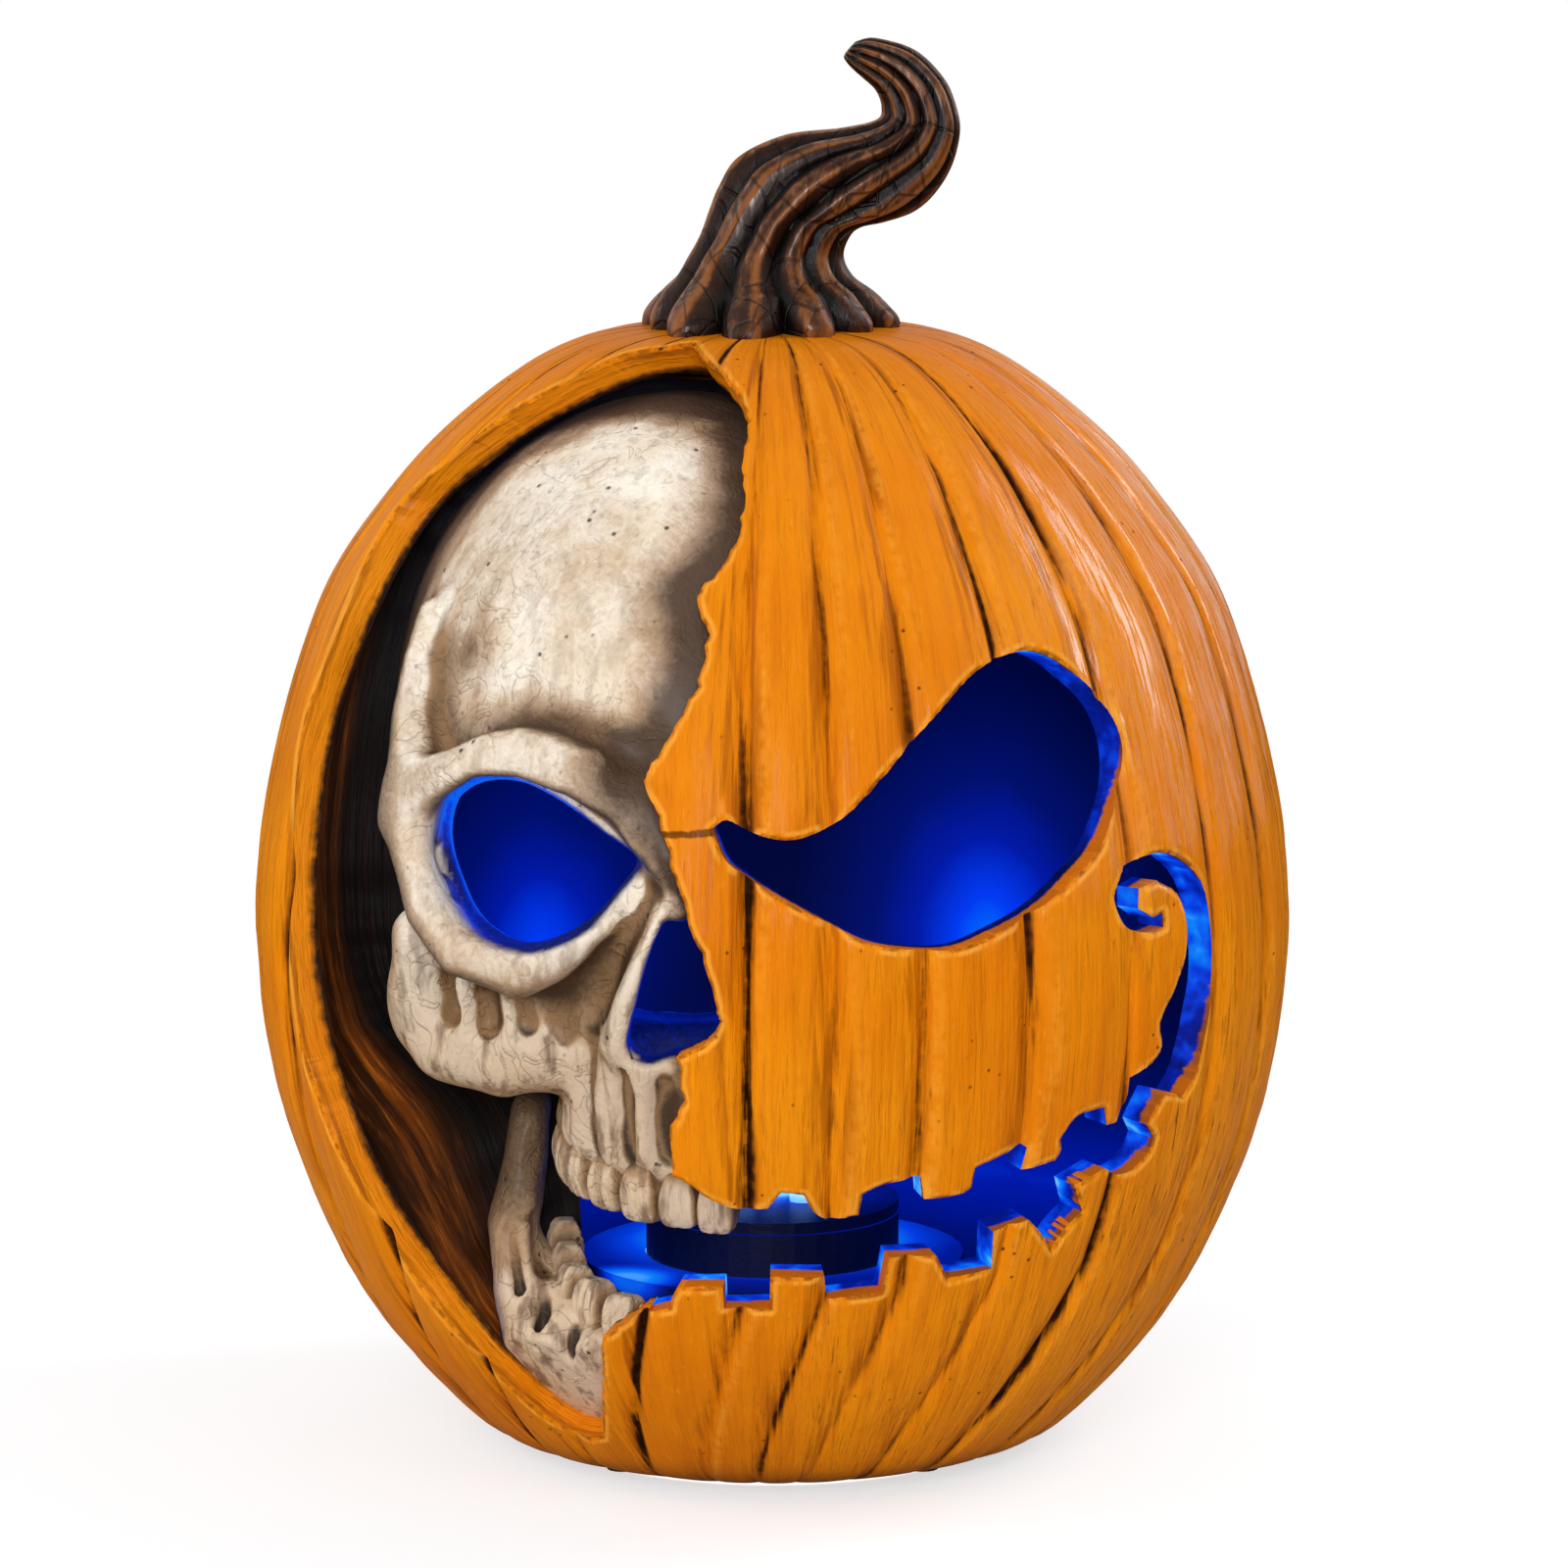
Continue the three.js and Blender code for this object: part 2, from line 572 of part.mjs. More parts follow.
const skullBars = [
  [browShares, browRadius], [templeShares, templeRadius], [socketRimShares, rimRadius],
  [noseSideShares, rimRadius], [cheekShares, archRadius + browRadius / 2],
  [cheekSideShares, archRadius], [archShares, archRadius], [gumShares, rimRadius],
].map(([shares, radius]) => [shares.map(place), radius]);

function skullDistance(p) {
  const masses = skullMassShares.map((mass) => massDistance(p, mass));
  const bars = skullBars.map(([line, radius]) => barDistance(p, line, radius));
  return [...masses, ...bars].reduce(smoothLeast);
}

function hollowDistance(p, gap) {
  const r = Math.hypot(p.x, p.y);
  return r - (surfaceRadius(p.z) - (wall + gap));
}

// How far the bone reaches from the skull's heart in a direction
function boneReach(heart, direction, grow) {
  const stepCount = 90;
  const far = rayShare * bodyRadius;
  const at = (t) => heart.clone().addScaledVector(direction, t);
  const out = (t) => Math.max(skullDistance(at(t)) - grow, hollowDistance(at(t), 3 * fitGap));
  let t = far;
  while (t > 0 && out(t) > 0) t -= far / stepCount;
  let low = t;
  let high = t + far / stepCount;
  for (let i = 0; i < 12; i++) {
    const mid = (low + high) / 2;
    if (out(mid) > 0) high = mid;
    else low = mid;
  }
  return low;
}

// A closed body between the bone surface and either an inner skin or the heart
function maskSolid(grow, thickness) {
  const heart = place(skullHeartShares);
  const [columns, rows] = [32, 36];
  const outer = [];
  const inner = [];
  for (let j = 0; j <= rows; j++) {
    const rise = rad(maskRises[0] + (maskRises[1] - maskRises[0]) * j / rows);
    for (let i = 0; i <= columns; i++) {
      const turn = rad(maskTurns[0] + (maskTurns[1] - maskTurns[0]) * i / columns);
      const way = new THREE.Vector3(
        Math.sin(turn) * Math.cos(rise), -Math.cos(turn) * Math.cos(rise), Math.sin(rise));
      const reach = boneReach(heart, way, grow);
      outer.push(heart.clone().addScaledVector(way, reach));
      if (thickness) inner.push(heart.clone().addScaledVector(way, reach - thickness));
    }
  }
  const n = columns + 1;
  const index = [];
  const border = [];
  for (let j = 0; j < rows; j++) {
    for (let i = 0; i < columns; i++) {
      const [a, b, c, d] = [j * n + i, j * n + i + 1, (j + 1) * n + i + 1, (j + 1) * n + i];
      index.push(a, b, c, a, c, d);
      if (thickness) index.push(...[a, c, b, a, d, c].map((k) => k + outer.length));
    }
  }
  for (let i = 0; i < columns; i++) border.push(i);
  for (let j = 0; j < rows; j++) border.push(j * n + columns);
  for (let i = columns; i > 0; i--) border.push(rows * n + i);
  for (let j = rows; j > 0; j--) border.push(j * n);
  border.forEach((a, k) => {
    const b = border[(k + 1) % border.length];
    if (thickness) index.push(b, a, a + outer.length, b, a + outer.length, b + outer.length);
    else index.push(b, a, outer.length);
  });
  return facingOut([...outer, ...(thickness ? inner : [heart])], index);
}

// A hole through the mask, straight back and a little narrower inside
function boneCutter(shares) {
  const outline = shares.map(([x, z]) => new THREE.Vector2(x * bodyRadius, z * bodyHeight));
  const middle = outline.reduce((a, b) => a.clone().add(b)).divideScalar(outline.length);
  const ring = (y, scale) => outline.map((p) => new THREE.Vector3(
    middle.x + (p.x - middle.x) * scale, y, middle.y + (p.y - middle.y) * scale));
  return loft(boneCutShares.map(([depth, scale]) => ring(depth * bodyRadius, scale)));
}

// Teeth along an arch, as wide as their spacing allows: the biting edge is lower in the skull, upper in the jaw
function teeth(arch, inSkull) {
  const spots = arch.map(place);
  return spots.map((spot, i) => {
    const along = spots[Math.min(i + 1, spots.length - 1)].clone().sub(spots[Math.max(i - 1, 0)]);
    const width = toothFillShare * along.length() / (i > 0 && i < spots.length - 1 ? 2 : 1);
    const g = new THREE.CylinderGeometry(
      width * toothRootShare / 2, width / 2, toothHeightShare * bodyHeight, 8);
    g.rotateX(inSkull ? Math.PI / 2 : -Math.PI / 2);
    g.scale(1, toothDepth / width, 1);
    g.rotateZ(Math.atan2(along.y, along.x));
    g.translate(spot.x, spot.y, spot.z);
    return solid(g);
  });
}

function skull() {
  const outline = skullTrimShares.map(([x, z]) => new THREE.Vector2(x * bodyRadius, z * bodyHeight));
  const slab = (y) => outline.map((p) => new THREE.Vector3(p.x, y, p.y));
  const trim = loft([slab(-bodyRadius), slab(bodyRadius)]);
  const back = block(-bodyRadius, bodyRadius, skullBackShare * bodyRadius, bodyRadius, 0, bodyHeight);
  return join([maskSolid(0, skullThickness), ...teeth(upperTeethShares, true)])
    .subtract(boneCutter(orbitShares)).subtract(boneCutter(noseShares))
    .subtract(trim).subtract(back).intersect(hollow(fitGap));
}

// Jaw: a line of centres with half widths across and in depth
const ramusShares = [
  [-0.449, -0.339, 0.345, 0.042, 0.068], [-0.466, -0.373, 0.288, 0.047, 0.076],
  [-0.492, -0.407, 0.23, 0.051, 0.085], [-0.466, -0.449, 0.175, 0.068, 0.085],
  [-0.415, -0.466, 0.117, 0.068, 0.068], [-0.364, -0.449, 0.074, 0.047, 0.051],
  [-0.338, -0.455, 0.055, 0.027, 0.045],
];
const jawGumShares = [
  [-0.44, -0.4, 0.195, 0.05, 0.032], [-0.405, -0.52, 0.165, 0.055, 0.034], [-0.331, -0.585, 0.155, 0.055, 0.034],
  [-0.24, -0.64, 0.152, 0.055, 0.034], [-0.12, -0.685, 0.152, 0.05, 0.032],
];
const chinShares = [-0.35, -0.5, 0.125, 0.13, 0.085, 0.062];

function jawTube(rows, upright) {
  const sides = 10;
  return loft(rows.map(([x, y, z, a, b], level) => {
    const next = rows[Math.min(level + 1, rows.length - 1)];
    const last = rows[Math.max(level - 1, 0)];
    const heading = Math.atan2(next[1] - last[1], next[0] - last[0]);
    return Array.from({ length: sides }, (_, i) => {
      const angle = fullTurn * i / sides;
      const across = a * bodyRadius * Math.cos(angle);
      if (upright) {
        return place([x, y, z]).add(new THREE.Vector3(across, b * bodyRadius * Math.sin(angle), 0));
      }
      return place([x, y, z]).add(new THREE.Vector3(
        across * Math.sin(heading), -across * Math.cos(heading), b * bodyHeight * Math.sin(angle)));
    });
  }));
}

function jaw() {
  const [x, y, z, rx, ry, rz] = chinShares;
  const chin = new THREE.SphereGeometry(1, 12, 8);
  chin.scale(rx * bodyRadius, ry * bodyRadius, rz * bodyHeight);
  chin.translate(x * bodyRadius, y * bodyRadius, z * bodyHeight);
  return join([jawTube(ramusShares, true), jawTube(jawGumShares, false), solid(chin),
    ...teeth(lowerTeethShares, false)]).intersect(hollow(fitGap).add(nicheCutter(2 * fitGap)));
}

// Liner: points on the hollow's wall behind the rim, and the matching points at the skull's edge
const linerRimShares = [
  [-0.12, 0.995], [-0.32, 0.985], [-0.49, 0.955], [-0.66, 0.905], [-0.77, 0.85], [-0.87, 0.745],
  [-0.93, 0.64], [-0.96, 0.54], [-0.95, 0.46], [-0.92, 0.38], [-0.86, 0.32], [-0.79, 0.26],
  [-0.7, 0.195], [-0.59, 0.13], [-0.47, 0.07], [-0.37, 0.03],
];
const linerBackShares = [
  [-0.12, -0.1, 0.93], [-0.25, -0.1, 0.925], [-0.38, -0.1, 0.905], [-0.52, -0.1, 0.86], [-0.61, -0.1, 0.8],
  [-0.66, -0.1, 0.71], [-0.68, -0.1, 0.62], [-0.69, -0.1, 0.53], [-0.68, -0.1, 0.45], [-0.62, -0.12, 0.4],
  [-0.5, -0.14, 0.375], [-0.42, -0.2, 0.345], [-0.39, -0.26, 0.28], [-0.38, -0.28, 0.2], [-0.36, -0.32, 0.13],
  [-0.33, -0.37, 0.03],
];
const linerBulgeShare = 0.225;
const linerSetShare = 0.985;

function nicheLiner() {
  const steps = 5;
  const rings = linerRimShares.map((row, i) => {
    const rim = towardCentre(onSurface(row), linerSetShare);
    const back = place(linerBackShares[i]);
    const front = [];
    for (let k = 0; k <= steps; k++) {
      const t = k / steps;
      const p = rim.clone().lerp(back, t);
      p.y += linerBulgeShare * (back.y - rim.y) * Math.sin(Math.PI * t);
      front.push(p);
    }
    const behind = front.map((p, k) => {
      const along = front[Math.min(k + 1, steps)].clone().sub(front[Math.max(k - 1, 0)]).normalize();
      const outwards = new THREE.Vector3(0, 1, 0).addScaledVector(along, -along.y).normalize();
      return p.clone().addScaledVector(outwards, linerThickness);
    });
    return [...front, ...behind.reverse()];
  });
  const bone = maskSolid(2 * fitGap, 0);
  return loft(rings).intersect(hollow(fitGap)).subtract(bone);
}

function around(radius, degrees) {
  return [radius * Math.cos(rad(degrees)), radius * Math.sin(rad(degrees))];
}

function screwPlaces() {
  return screwAngles.map((a) => around(screwRing, a));
}

function cellRows() {
  return [-1, 0, 1].map((row) => ({ y: row * (2 * cellRadius + cellSpacing), way: row === 0 ? -1 : 1 }));
}

// A round rod that lies along Y
function rodAlongY(radius, x, z, half, sides = 12) {
  const g = new THREE.CylinderGeometry(radius, radius, 2 * half, sides);
  g.translate(x, 0, z);
  return solid(g);
}

function lightHousing() {
  const outside = turned([
    [0, flangeBottom], [flangeRadius, flangeBottom], [flangeRadius, flangeTop], [drumRadius, flangeTop],
    [drumRadius, drumTop], [neckRadius, drumTop], [neckRadius, neckTop], [0, neckTop],
  ], roundSteps);
  const inside = turned([
    [0, flangeTop], [drumRadius - mouldWall, flangeTop], [drumRadius - mouldWall, drumTop - mouldWall],
    [neckInner, drumTop - mouldWall], [neckInner, ledgeTop - boardLedge],
    [neckInner - boardLedge, ledgeTop - boardLedge / 2], [neckInner - boardLedge, ledgeTop],
    [neckInner, ledgeTop], [neckInner, neckTop + overrun], [0, neckTop + overrun],
  ], roundSteps);
  const bayBlock = block(-bayHalf - mouldWall, bayHalf + mouldWall,
    -bayHalfWidth - mouldWall, bayHalfWidth + mouldWall, flangeTop, blockTop);
  const bay = block(-bayHalf, bayHalf, -bayHalfWidth, bayHalfWidth, flangeBottom, bayTop);
  const slotEnd = hingeX - hingeSwing - hingeClearance;
  const doorSeat = block(slotEnd, doorEnd + fitGap, -doorHalfWidth - fitGap, doorHalfWidth + fitGap,
    flangeBottom - overrun, ledgeBottom);
  const rodSeat = block(slotEnd, hingeX + hingeRodRadius + hingeClearance, -doorHalfWidth - fitGap,
    doorHalfWidth + fitGap, flangeBottom, hingeZ + hingeRodRadius + hingeClearance);
  const rodBore = rodAlongY(hingeRodRadius + hingeClearance, hingeX, hingeZ, doorHalfWidth + hingeEnd + 2 * fitGap);
  const earSeat = rod(earRadius + hingeClearance, earX, 0, flangeBottom - overrun, ledgeBottom);
  const boss = rod(doorScrewRadius + doorScrewPlay + bossWall, earX, 0, flangeTop, doorScrewTop + mouldWall, 16);
  const bossHole = rod(doorScrewRadius + doorScrewPlay, earX, 0, flangeBottom, doorScrewTop + hingeClearance, 12);
  const heads = screwPlaces().map(([x, y]) => rod(screwHeadRadius + fitGap, x, y,
    flangeBottom - overrun, screwSeat + fitGap, 16));
  const shanks = screwPlaces().map(([x, y]) => rod(screwRadius + fitGap, x, y, flangeBottom, flangeTop + overrun, 8));
  const knobSlot = block(-knobLength / 2 - knobTravel / 2 - fitGap, knobLength / 2 + knobTravel / 2 + fitGap,
    switchY - knobWidth / 2 - fitGap, switchY + knobWidth / 2 + fitGap, flangeBottom - overrun, flangeTop + overrun);
  const body = outside.subtract(inside.subtract(bayBlock).subtract(boss));
  const cuts = [bay, doorSeat, rodSeat, rodBore, earSeat, bossHole, ...heads, ...shanks, knobSlot];
  return cuts.reduce((made, cut) => made.subtract(cut), body);
}

function batteryDoor() {
  const plate = block(-bayHalf - doorMargin + hingeRodRadius, doorEnd, -doorHalfWidth, doorHalfWidth,
    flangeBottom, doorTop);
  const arm = block(hingeX, -bayHalf, -doorHalfWidth + hingeEnd, doorHalfWidth - hingeEnd,
    hingeZ - hingeRodRadius, doorTop);
  const pin = rodAlongY(hingeRodRadius, hingeX, hingeZ, doorHalfWidth + hingeEnd);
  const ear = rod(earRadius, earX, 0, flangeBottom, doorTop);
  const hole = rod(doorScrewRadius + fitGap, earX, 0, flangeBottom - overrun, doorTop + overrun, 12);
  const headSeat = rod(doorScrewHeadRadius + fitGap, earX, 0, flangeBottom - overrun, doorScrewSeat + fitGap / 2, 16);
  return join([plate, arm, pin, ear]).subtract(hole).subtract(headSeat);
}

// A screw with its head down, cross slot in the head
function screw(shank, head, headHeight, length, z0) {
  const slot = head / 3;
  const body = turned([
    [0, z0], [head, z0], [head, z0 + headHeight], [shank, z0 + headHeight],
    [shank, z0 + headHeight + length - shank], [0, z0 + headHeight + length],
  ], 12);
  const bar = block(-head * slotLengthShare, head * slotLengthShare, -slot / 2, slot / 2, z0 - overrun, z0 + headHeight / 2);
  const cross = block(-slot / 2, slot / 2, -head * slotLengthShare, head * slotLengthShare, z0 - overrun, z0 + headHeight / 2);
  return body.subtract(bar).subtract(cross);
}

function lightLid() {
  const spigot = neckInner - fitGap;
  const lid = turned([
    [0, lidBottom - spigotDepth], [spigot, lidBottom - spigotDepth], [spigot, lidBottom],
    [neckRadius, lidBottom], [neckRadius, lidTop], [0, lidTop],
  ], roundSteps);
  return ledPlaces().reduce((made, [x, y]) =>
    made.subtract(rod(ledRadius + fitGap, x, y, lidBottom - overrun, lidTop + overrun, 16)), lid);
}

function ledPlaces() {
  return ledAngles.map((a) => around(ledRing, a));
}

function led() {
  const rows = [[0, ledBottom], [ledRadius, ledBottom], [ledRadius, ledTop - ledRadius]];
  for (let a = 30; a < 90; a += 30) {
    rows.push([ledRadius * Math.cos(rad(a)), ledTop - ledRadius + ledRadius * Math.sin(rad(a))]);
  }
  return turned([...rows, [0, ledTop]], 12);
}

// A cell along X with its nub towards +X
function cell() {
  const start = -bayHalf + springLength + 2 * fitGap;
  const g = turnedGeometry([
    [0, start], [cellRadius, start], [cellRadius, start + cellLength], [nubRadius, start + cellLength],
    [nubRadius, start + cellLength + nubLength], [0, start + cellLength + nubLength],
  ], 16);
  g.rotateY(Math.PI / 2);
  return solid(g);
}

// A cone spring as one wound wire, wide at the wall
class Spiral extends THREE.Curve {
  getPoint(t) {
    const r = springRadius + (springTipRadius - springRadius) * t;
    const angle = fullTurn * springTurns * t;
    const x = -bayHalf + fitGap + springWire + (springLength - 2 * springWire - fitGap) * t;
    return new THREE.Vector3(x, r * Math.cos(angle), r * Math.sin(angle));
  }
}

function wireShape(radius, sides) {
  return new THREE.Shape(Array.from({ length: sides }, (_, i) => new THREE.Vector2(
    radius * Math.cos(fullTurn * i / sides), radius * Math.sin(fullTurn * i / sides))));
}

function cellSpring() {
  return solid(new THREE.ExtrudeGeometry(wireShape(springWire, 5), {
    steps: 8 * springTurns, extrudePath: new Spiral(), bevelEnabled: false,
  }));
}

function contactPlate() {
  return block(bayHalf - fitGap - plateThickness, bayHalf - fitGap,
    -plateWidth / 2, plateWidth / 2, -plateWidth / 2, plateWidth / 2);
}

function switchBody() {
  const body = block(-switchLength / 2, switchLength / 2, switchY - switchWidth / 2, switchY + switchWidth / 2,
    switchBottom, switchBottom + switchHeight);
  const slot = block(-knobLength / 2 - knobTravel / 2 - fitGap, knobLength / 2 + knobTravel / 2 + fitGap,
    switchY - knobWidth / 2 - fitGap, switchY + knobWidth / 2 + fitGap,
    switchBottom - overrun, switchBottom + knobDepth + fitGap);
  return body.subtract(slot);
}

function switchKnob() {
  const x = -knobTravel / 2;
  return block(x - knobLength / 2, x + knobLength / 2, switchY - knobWidth / 2, switchY + knobWidth / 2,
    flangeBottom - knobProud, switchBottom + knobDepth);
}

// A lead from a low point up to the underside of the board
function lead(from, to) {
  const rise = (to.z - from.z) / 3;
  const path = new THREE.CubicBezierCurve3(from, from.clone().add(new THREE.Vector3(0, 0, rise)),
    to.clone().add(new THREE.Vector3(0, 0, -rise)), to);
  return solid(new THREE.ExtrudeGeometry(wireShape(wireRadius, 6), {
    steps: 8, extrudePath: path, bevelEnabled: false,
  }));
}

function footPad() {
  return rod(padRadius, 0, 0, -padThickness, -fitGap, 16);
}

// Assembly
const lantern = new THREE.Group();
lantern.position.z = padThickness;

const looks = {
  pumpkin: { color: 0xd9822b, roughness: 0.42, metalness: 0 },
  stem: { color: 0x3a2012, roughness: 0.28, metalness: 0 },
  bone: { color: 0xd8c6ab, roughness: 0.6, metalness: 0 },
  niche: { color: 0x24160e, roughness: 0.7, metalness: 0 },
  housing: { color: 0x1b1c20, roughness: 0.5, metalness: 0 },
  led: { color: 0x7fd8ff, roughness: 0.15, metalness: 0 },
  board: { color: 0x1f5a34, roughness: 0.5, metalness: 0 },
  cell: { color: 0x30343a, roughness: 0.35, metalness: 0.3 },
  steel: { color: 0xb8bcc0, roughness: 0.3, metalness: 1 },
  knob: { color: 0xe8e8e8, roughness: 0.4, metalness: 0 },
  red: { color: 0xb01818, roughness: 0.5, metalness: 0 },
  black: { color: 0x101010, roughness: 0.5, metalness: 0 },
  pad: { color: 0x2a2a2a, roughness: 0.9, metalness: 0 },
};

function add(name, body, look, x = 0, y = 0, z = 0, turn = 0) {
  const mesh = new THREE.Mesh(geometryOf(body), new THREE.MeshStandardMaterial(looks[look]));
  mesh.name = name;
  mesh.position.set(x, y, z);
  mesh.rotation.z = turn;
  lantern.add(mesh);
}

add('pumpkin_shell', pumpkinShell(), 'pumpkin');
add('light_well', lightWell(), 'niche');
add('stem', stem(), 'stem');
add('niche_liner', nicheLiner(), 'niche');
add('skull', skull(), 'bone');
add('jaw', jaw(), 'bone');
add('light_housing', lightHousing(), 'housing');
add('light_lid', lightLid(), 'housing');
add('led_board', rod(neckInner - fitGap, 0, 0, boardBottom, boardTop, roundSteps), 'board');
ledPlaces().forEach(([x, y], i) => add(`led_${i + 1}`, led(), 'led', x, y));
cellRows().forEach(({ y, way }, i) => {
  const turn = way < 0 ? Math.PI : 0;
  add(`battery_${i + 1}`, cell(), 'cell', 0, y, cellAxis, turn);
  add(`battery_spring_${i + 1}`, cellSpring(), 'steel', 0, y, cellAxis, turn);
  add(`contact_plate_${i + 1}`, contactPlate(), 'steel', 0, y, cellAxis, turn);
});
add('battery_door', batteryDoor(), 'housing');
add('door_screw', screw(doorScrewRadius, doorScrewHeadRadius, doorScrewHeadHeight, doorScrewLength,
  doorScrewHeadBottom), 'steel', earX);
add('switch_body', switchBody(), 'housing');
add('switch_knob', switchKnob(), 'knob');
add('lead_red', lead(new THREE.Vector3(0, switchY, switchBottom + switchHeight + fitGap),
  new THREE.Vector3(ledRing / 2, -ledRing, boardBottom - fitGap)), 'red');
add('lead_black', lead(new THREE.Vector3(-bayHalf + springLength, 0, blockTop + fitGap),
  new THREE.Vector3(-ledRing, 0, boardBottom - fitGap)), 'black');
screwPlaces().forEach(([x, y], i) => add(`mounting_screw_${i + 1}`,
  screw(screwRadius, screwHeadRadius, screwHeadHeight, screwLength, screwHeadBottom), 'steel', x, y));
const padRing = (wellRadius + fitGap + profileShares[0][0] * bodyRadius) / 2;
padAngles.forEach((angle, i) => {
  const [x, y] = around(padRing, angle);
  add(`foot_pad_${i + 1}`, footPad(), 'pad', x, y);
});

export default lantern;
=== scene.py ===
import math

import bpy
import numpy as np
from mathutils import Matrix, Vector


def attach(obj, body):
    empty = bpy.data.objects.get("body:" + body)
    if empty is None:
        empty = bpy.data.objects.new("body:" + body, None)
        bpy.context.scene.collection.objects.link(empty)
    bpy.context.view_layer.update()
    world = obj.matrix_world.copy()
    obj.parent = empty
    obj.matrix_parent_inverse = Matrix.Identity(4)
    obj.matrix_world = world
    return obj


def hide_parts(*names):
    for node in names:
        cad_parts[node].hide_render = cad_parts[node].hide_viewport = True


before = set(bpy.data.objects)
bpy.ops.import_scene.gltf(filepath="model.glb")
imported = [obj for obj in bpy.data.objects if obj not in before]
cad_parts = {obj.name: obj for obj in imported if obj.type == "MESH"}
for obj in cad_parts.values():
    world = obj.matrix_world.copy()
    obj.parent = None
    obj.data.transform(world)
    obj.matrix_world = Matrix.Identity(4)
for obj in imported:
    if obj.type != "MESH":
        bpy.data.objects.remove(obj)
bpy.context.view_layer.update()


# ---------------------------------------------------------------- camera and studio
# The lantern stands on a plain white sheet in soft daylight, seen through a long
# lens from a little above, with its face straight on.
camera_data = bpy.data.cameras.new("view")
camera = bpy.data.objects.new("view", camera_data)
bpy.context.collection.objects.link(camera)
looks_down, looks_aside = 9.29, 0.087  # degrees
camera.location = (0, -1.75, 0.438)
camera.rotation_euler = (math.radians(90 - looks_down), 0, math.radians(-looks_aside))
camera_data.lens, camera_data.sensor_width = 178.5, 36
camera_data.clip_start = 0.05
bpy.context.scene.camera = camera
bpy.context.scene.view_settings.view_transform = "Standard"


def area_lamp(name, place, target, size, power, colour=(1, 1, 1)):
    data = bpy.data.lights.new(name, "AREA")
    data.shape = "RECTANGLE"
    data.size, data.size_y = size
    data.energy = power
    data.color = colour
    lamp = bpy.data.objects.new(name, data)
    lamp.location = place
    lamp.rotation_euler = (Vector(target) - Vector(place)).to_track_quat("-Z", "Y").to_euler()
    lamp.visible_camera = False
    bpy.context.collection.objects.link(lamp)


area_lamp("front_softbox", (-0.2, -1.7, 0.55), (0, 0, 0.12), (0.7, 0.7), 20)
area_lamp("right_softbox", (1.15, 0.35, 0.95), (0, 0, 0.18), (0.35, 1.1), 9, (0.93, 0.96, 1.0))
area_lamp("left_softbox", (-1.3, -0.15, 0.6), (0, 0, 0.15), (0.4, 1.0), 5)
area_lamp("lamp_below", (0.15, -0.4, -0.8), (0, 0, 0), (0.5, 0.5), 12)


# Shader maths as plain expressions: a wrapped socket adds its Math nodes itself
class Value:
    def __init__(self, paint, socket):
        self.paint, self.socket = paint, socket

    def maths(self, operation, *others):
        return self.paint.node("ShaderNodeMath", {"operation": operation}, [self, *others])[0]

    def __add__(self, other): return self.maths("ADD", other)
    def __sub__(self, other): return self.maths("SUBTRACT", other)
    def __mul__(self, other): return self.maths("MULTIPLY", other)
    def __truediv__(self, other): return self.maths("DIVIDE", other)
    def __pow__(self, other): return self.maths("POWER", other)
    def __radd__(self, other): return self + other
    def __rsub__(self, other): return self.paint.node("ShaderNodeMath", {"operation": "SUBTRACT"}, [other, self])[0]
    def __rmul__(self, other): return self * other
    def clip(self): return self.paint.node("ShaderNodeClamp", {}, [self])[0]
    def least(self, other): return self.maths("MINIMUM", other)
    def most(self, other): return self.maths("MAXIMUM", other)
    def over(self, low, high):
        return self.paint.node("ShaderNodeMapRange", {"interpolation_type": "SMOOTHSTEP"},
                               {"Value": self, "From Min": low, "From Max": high})[0]


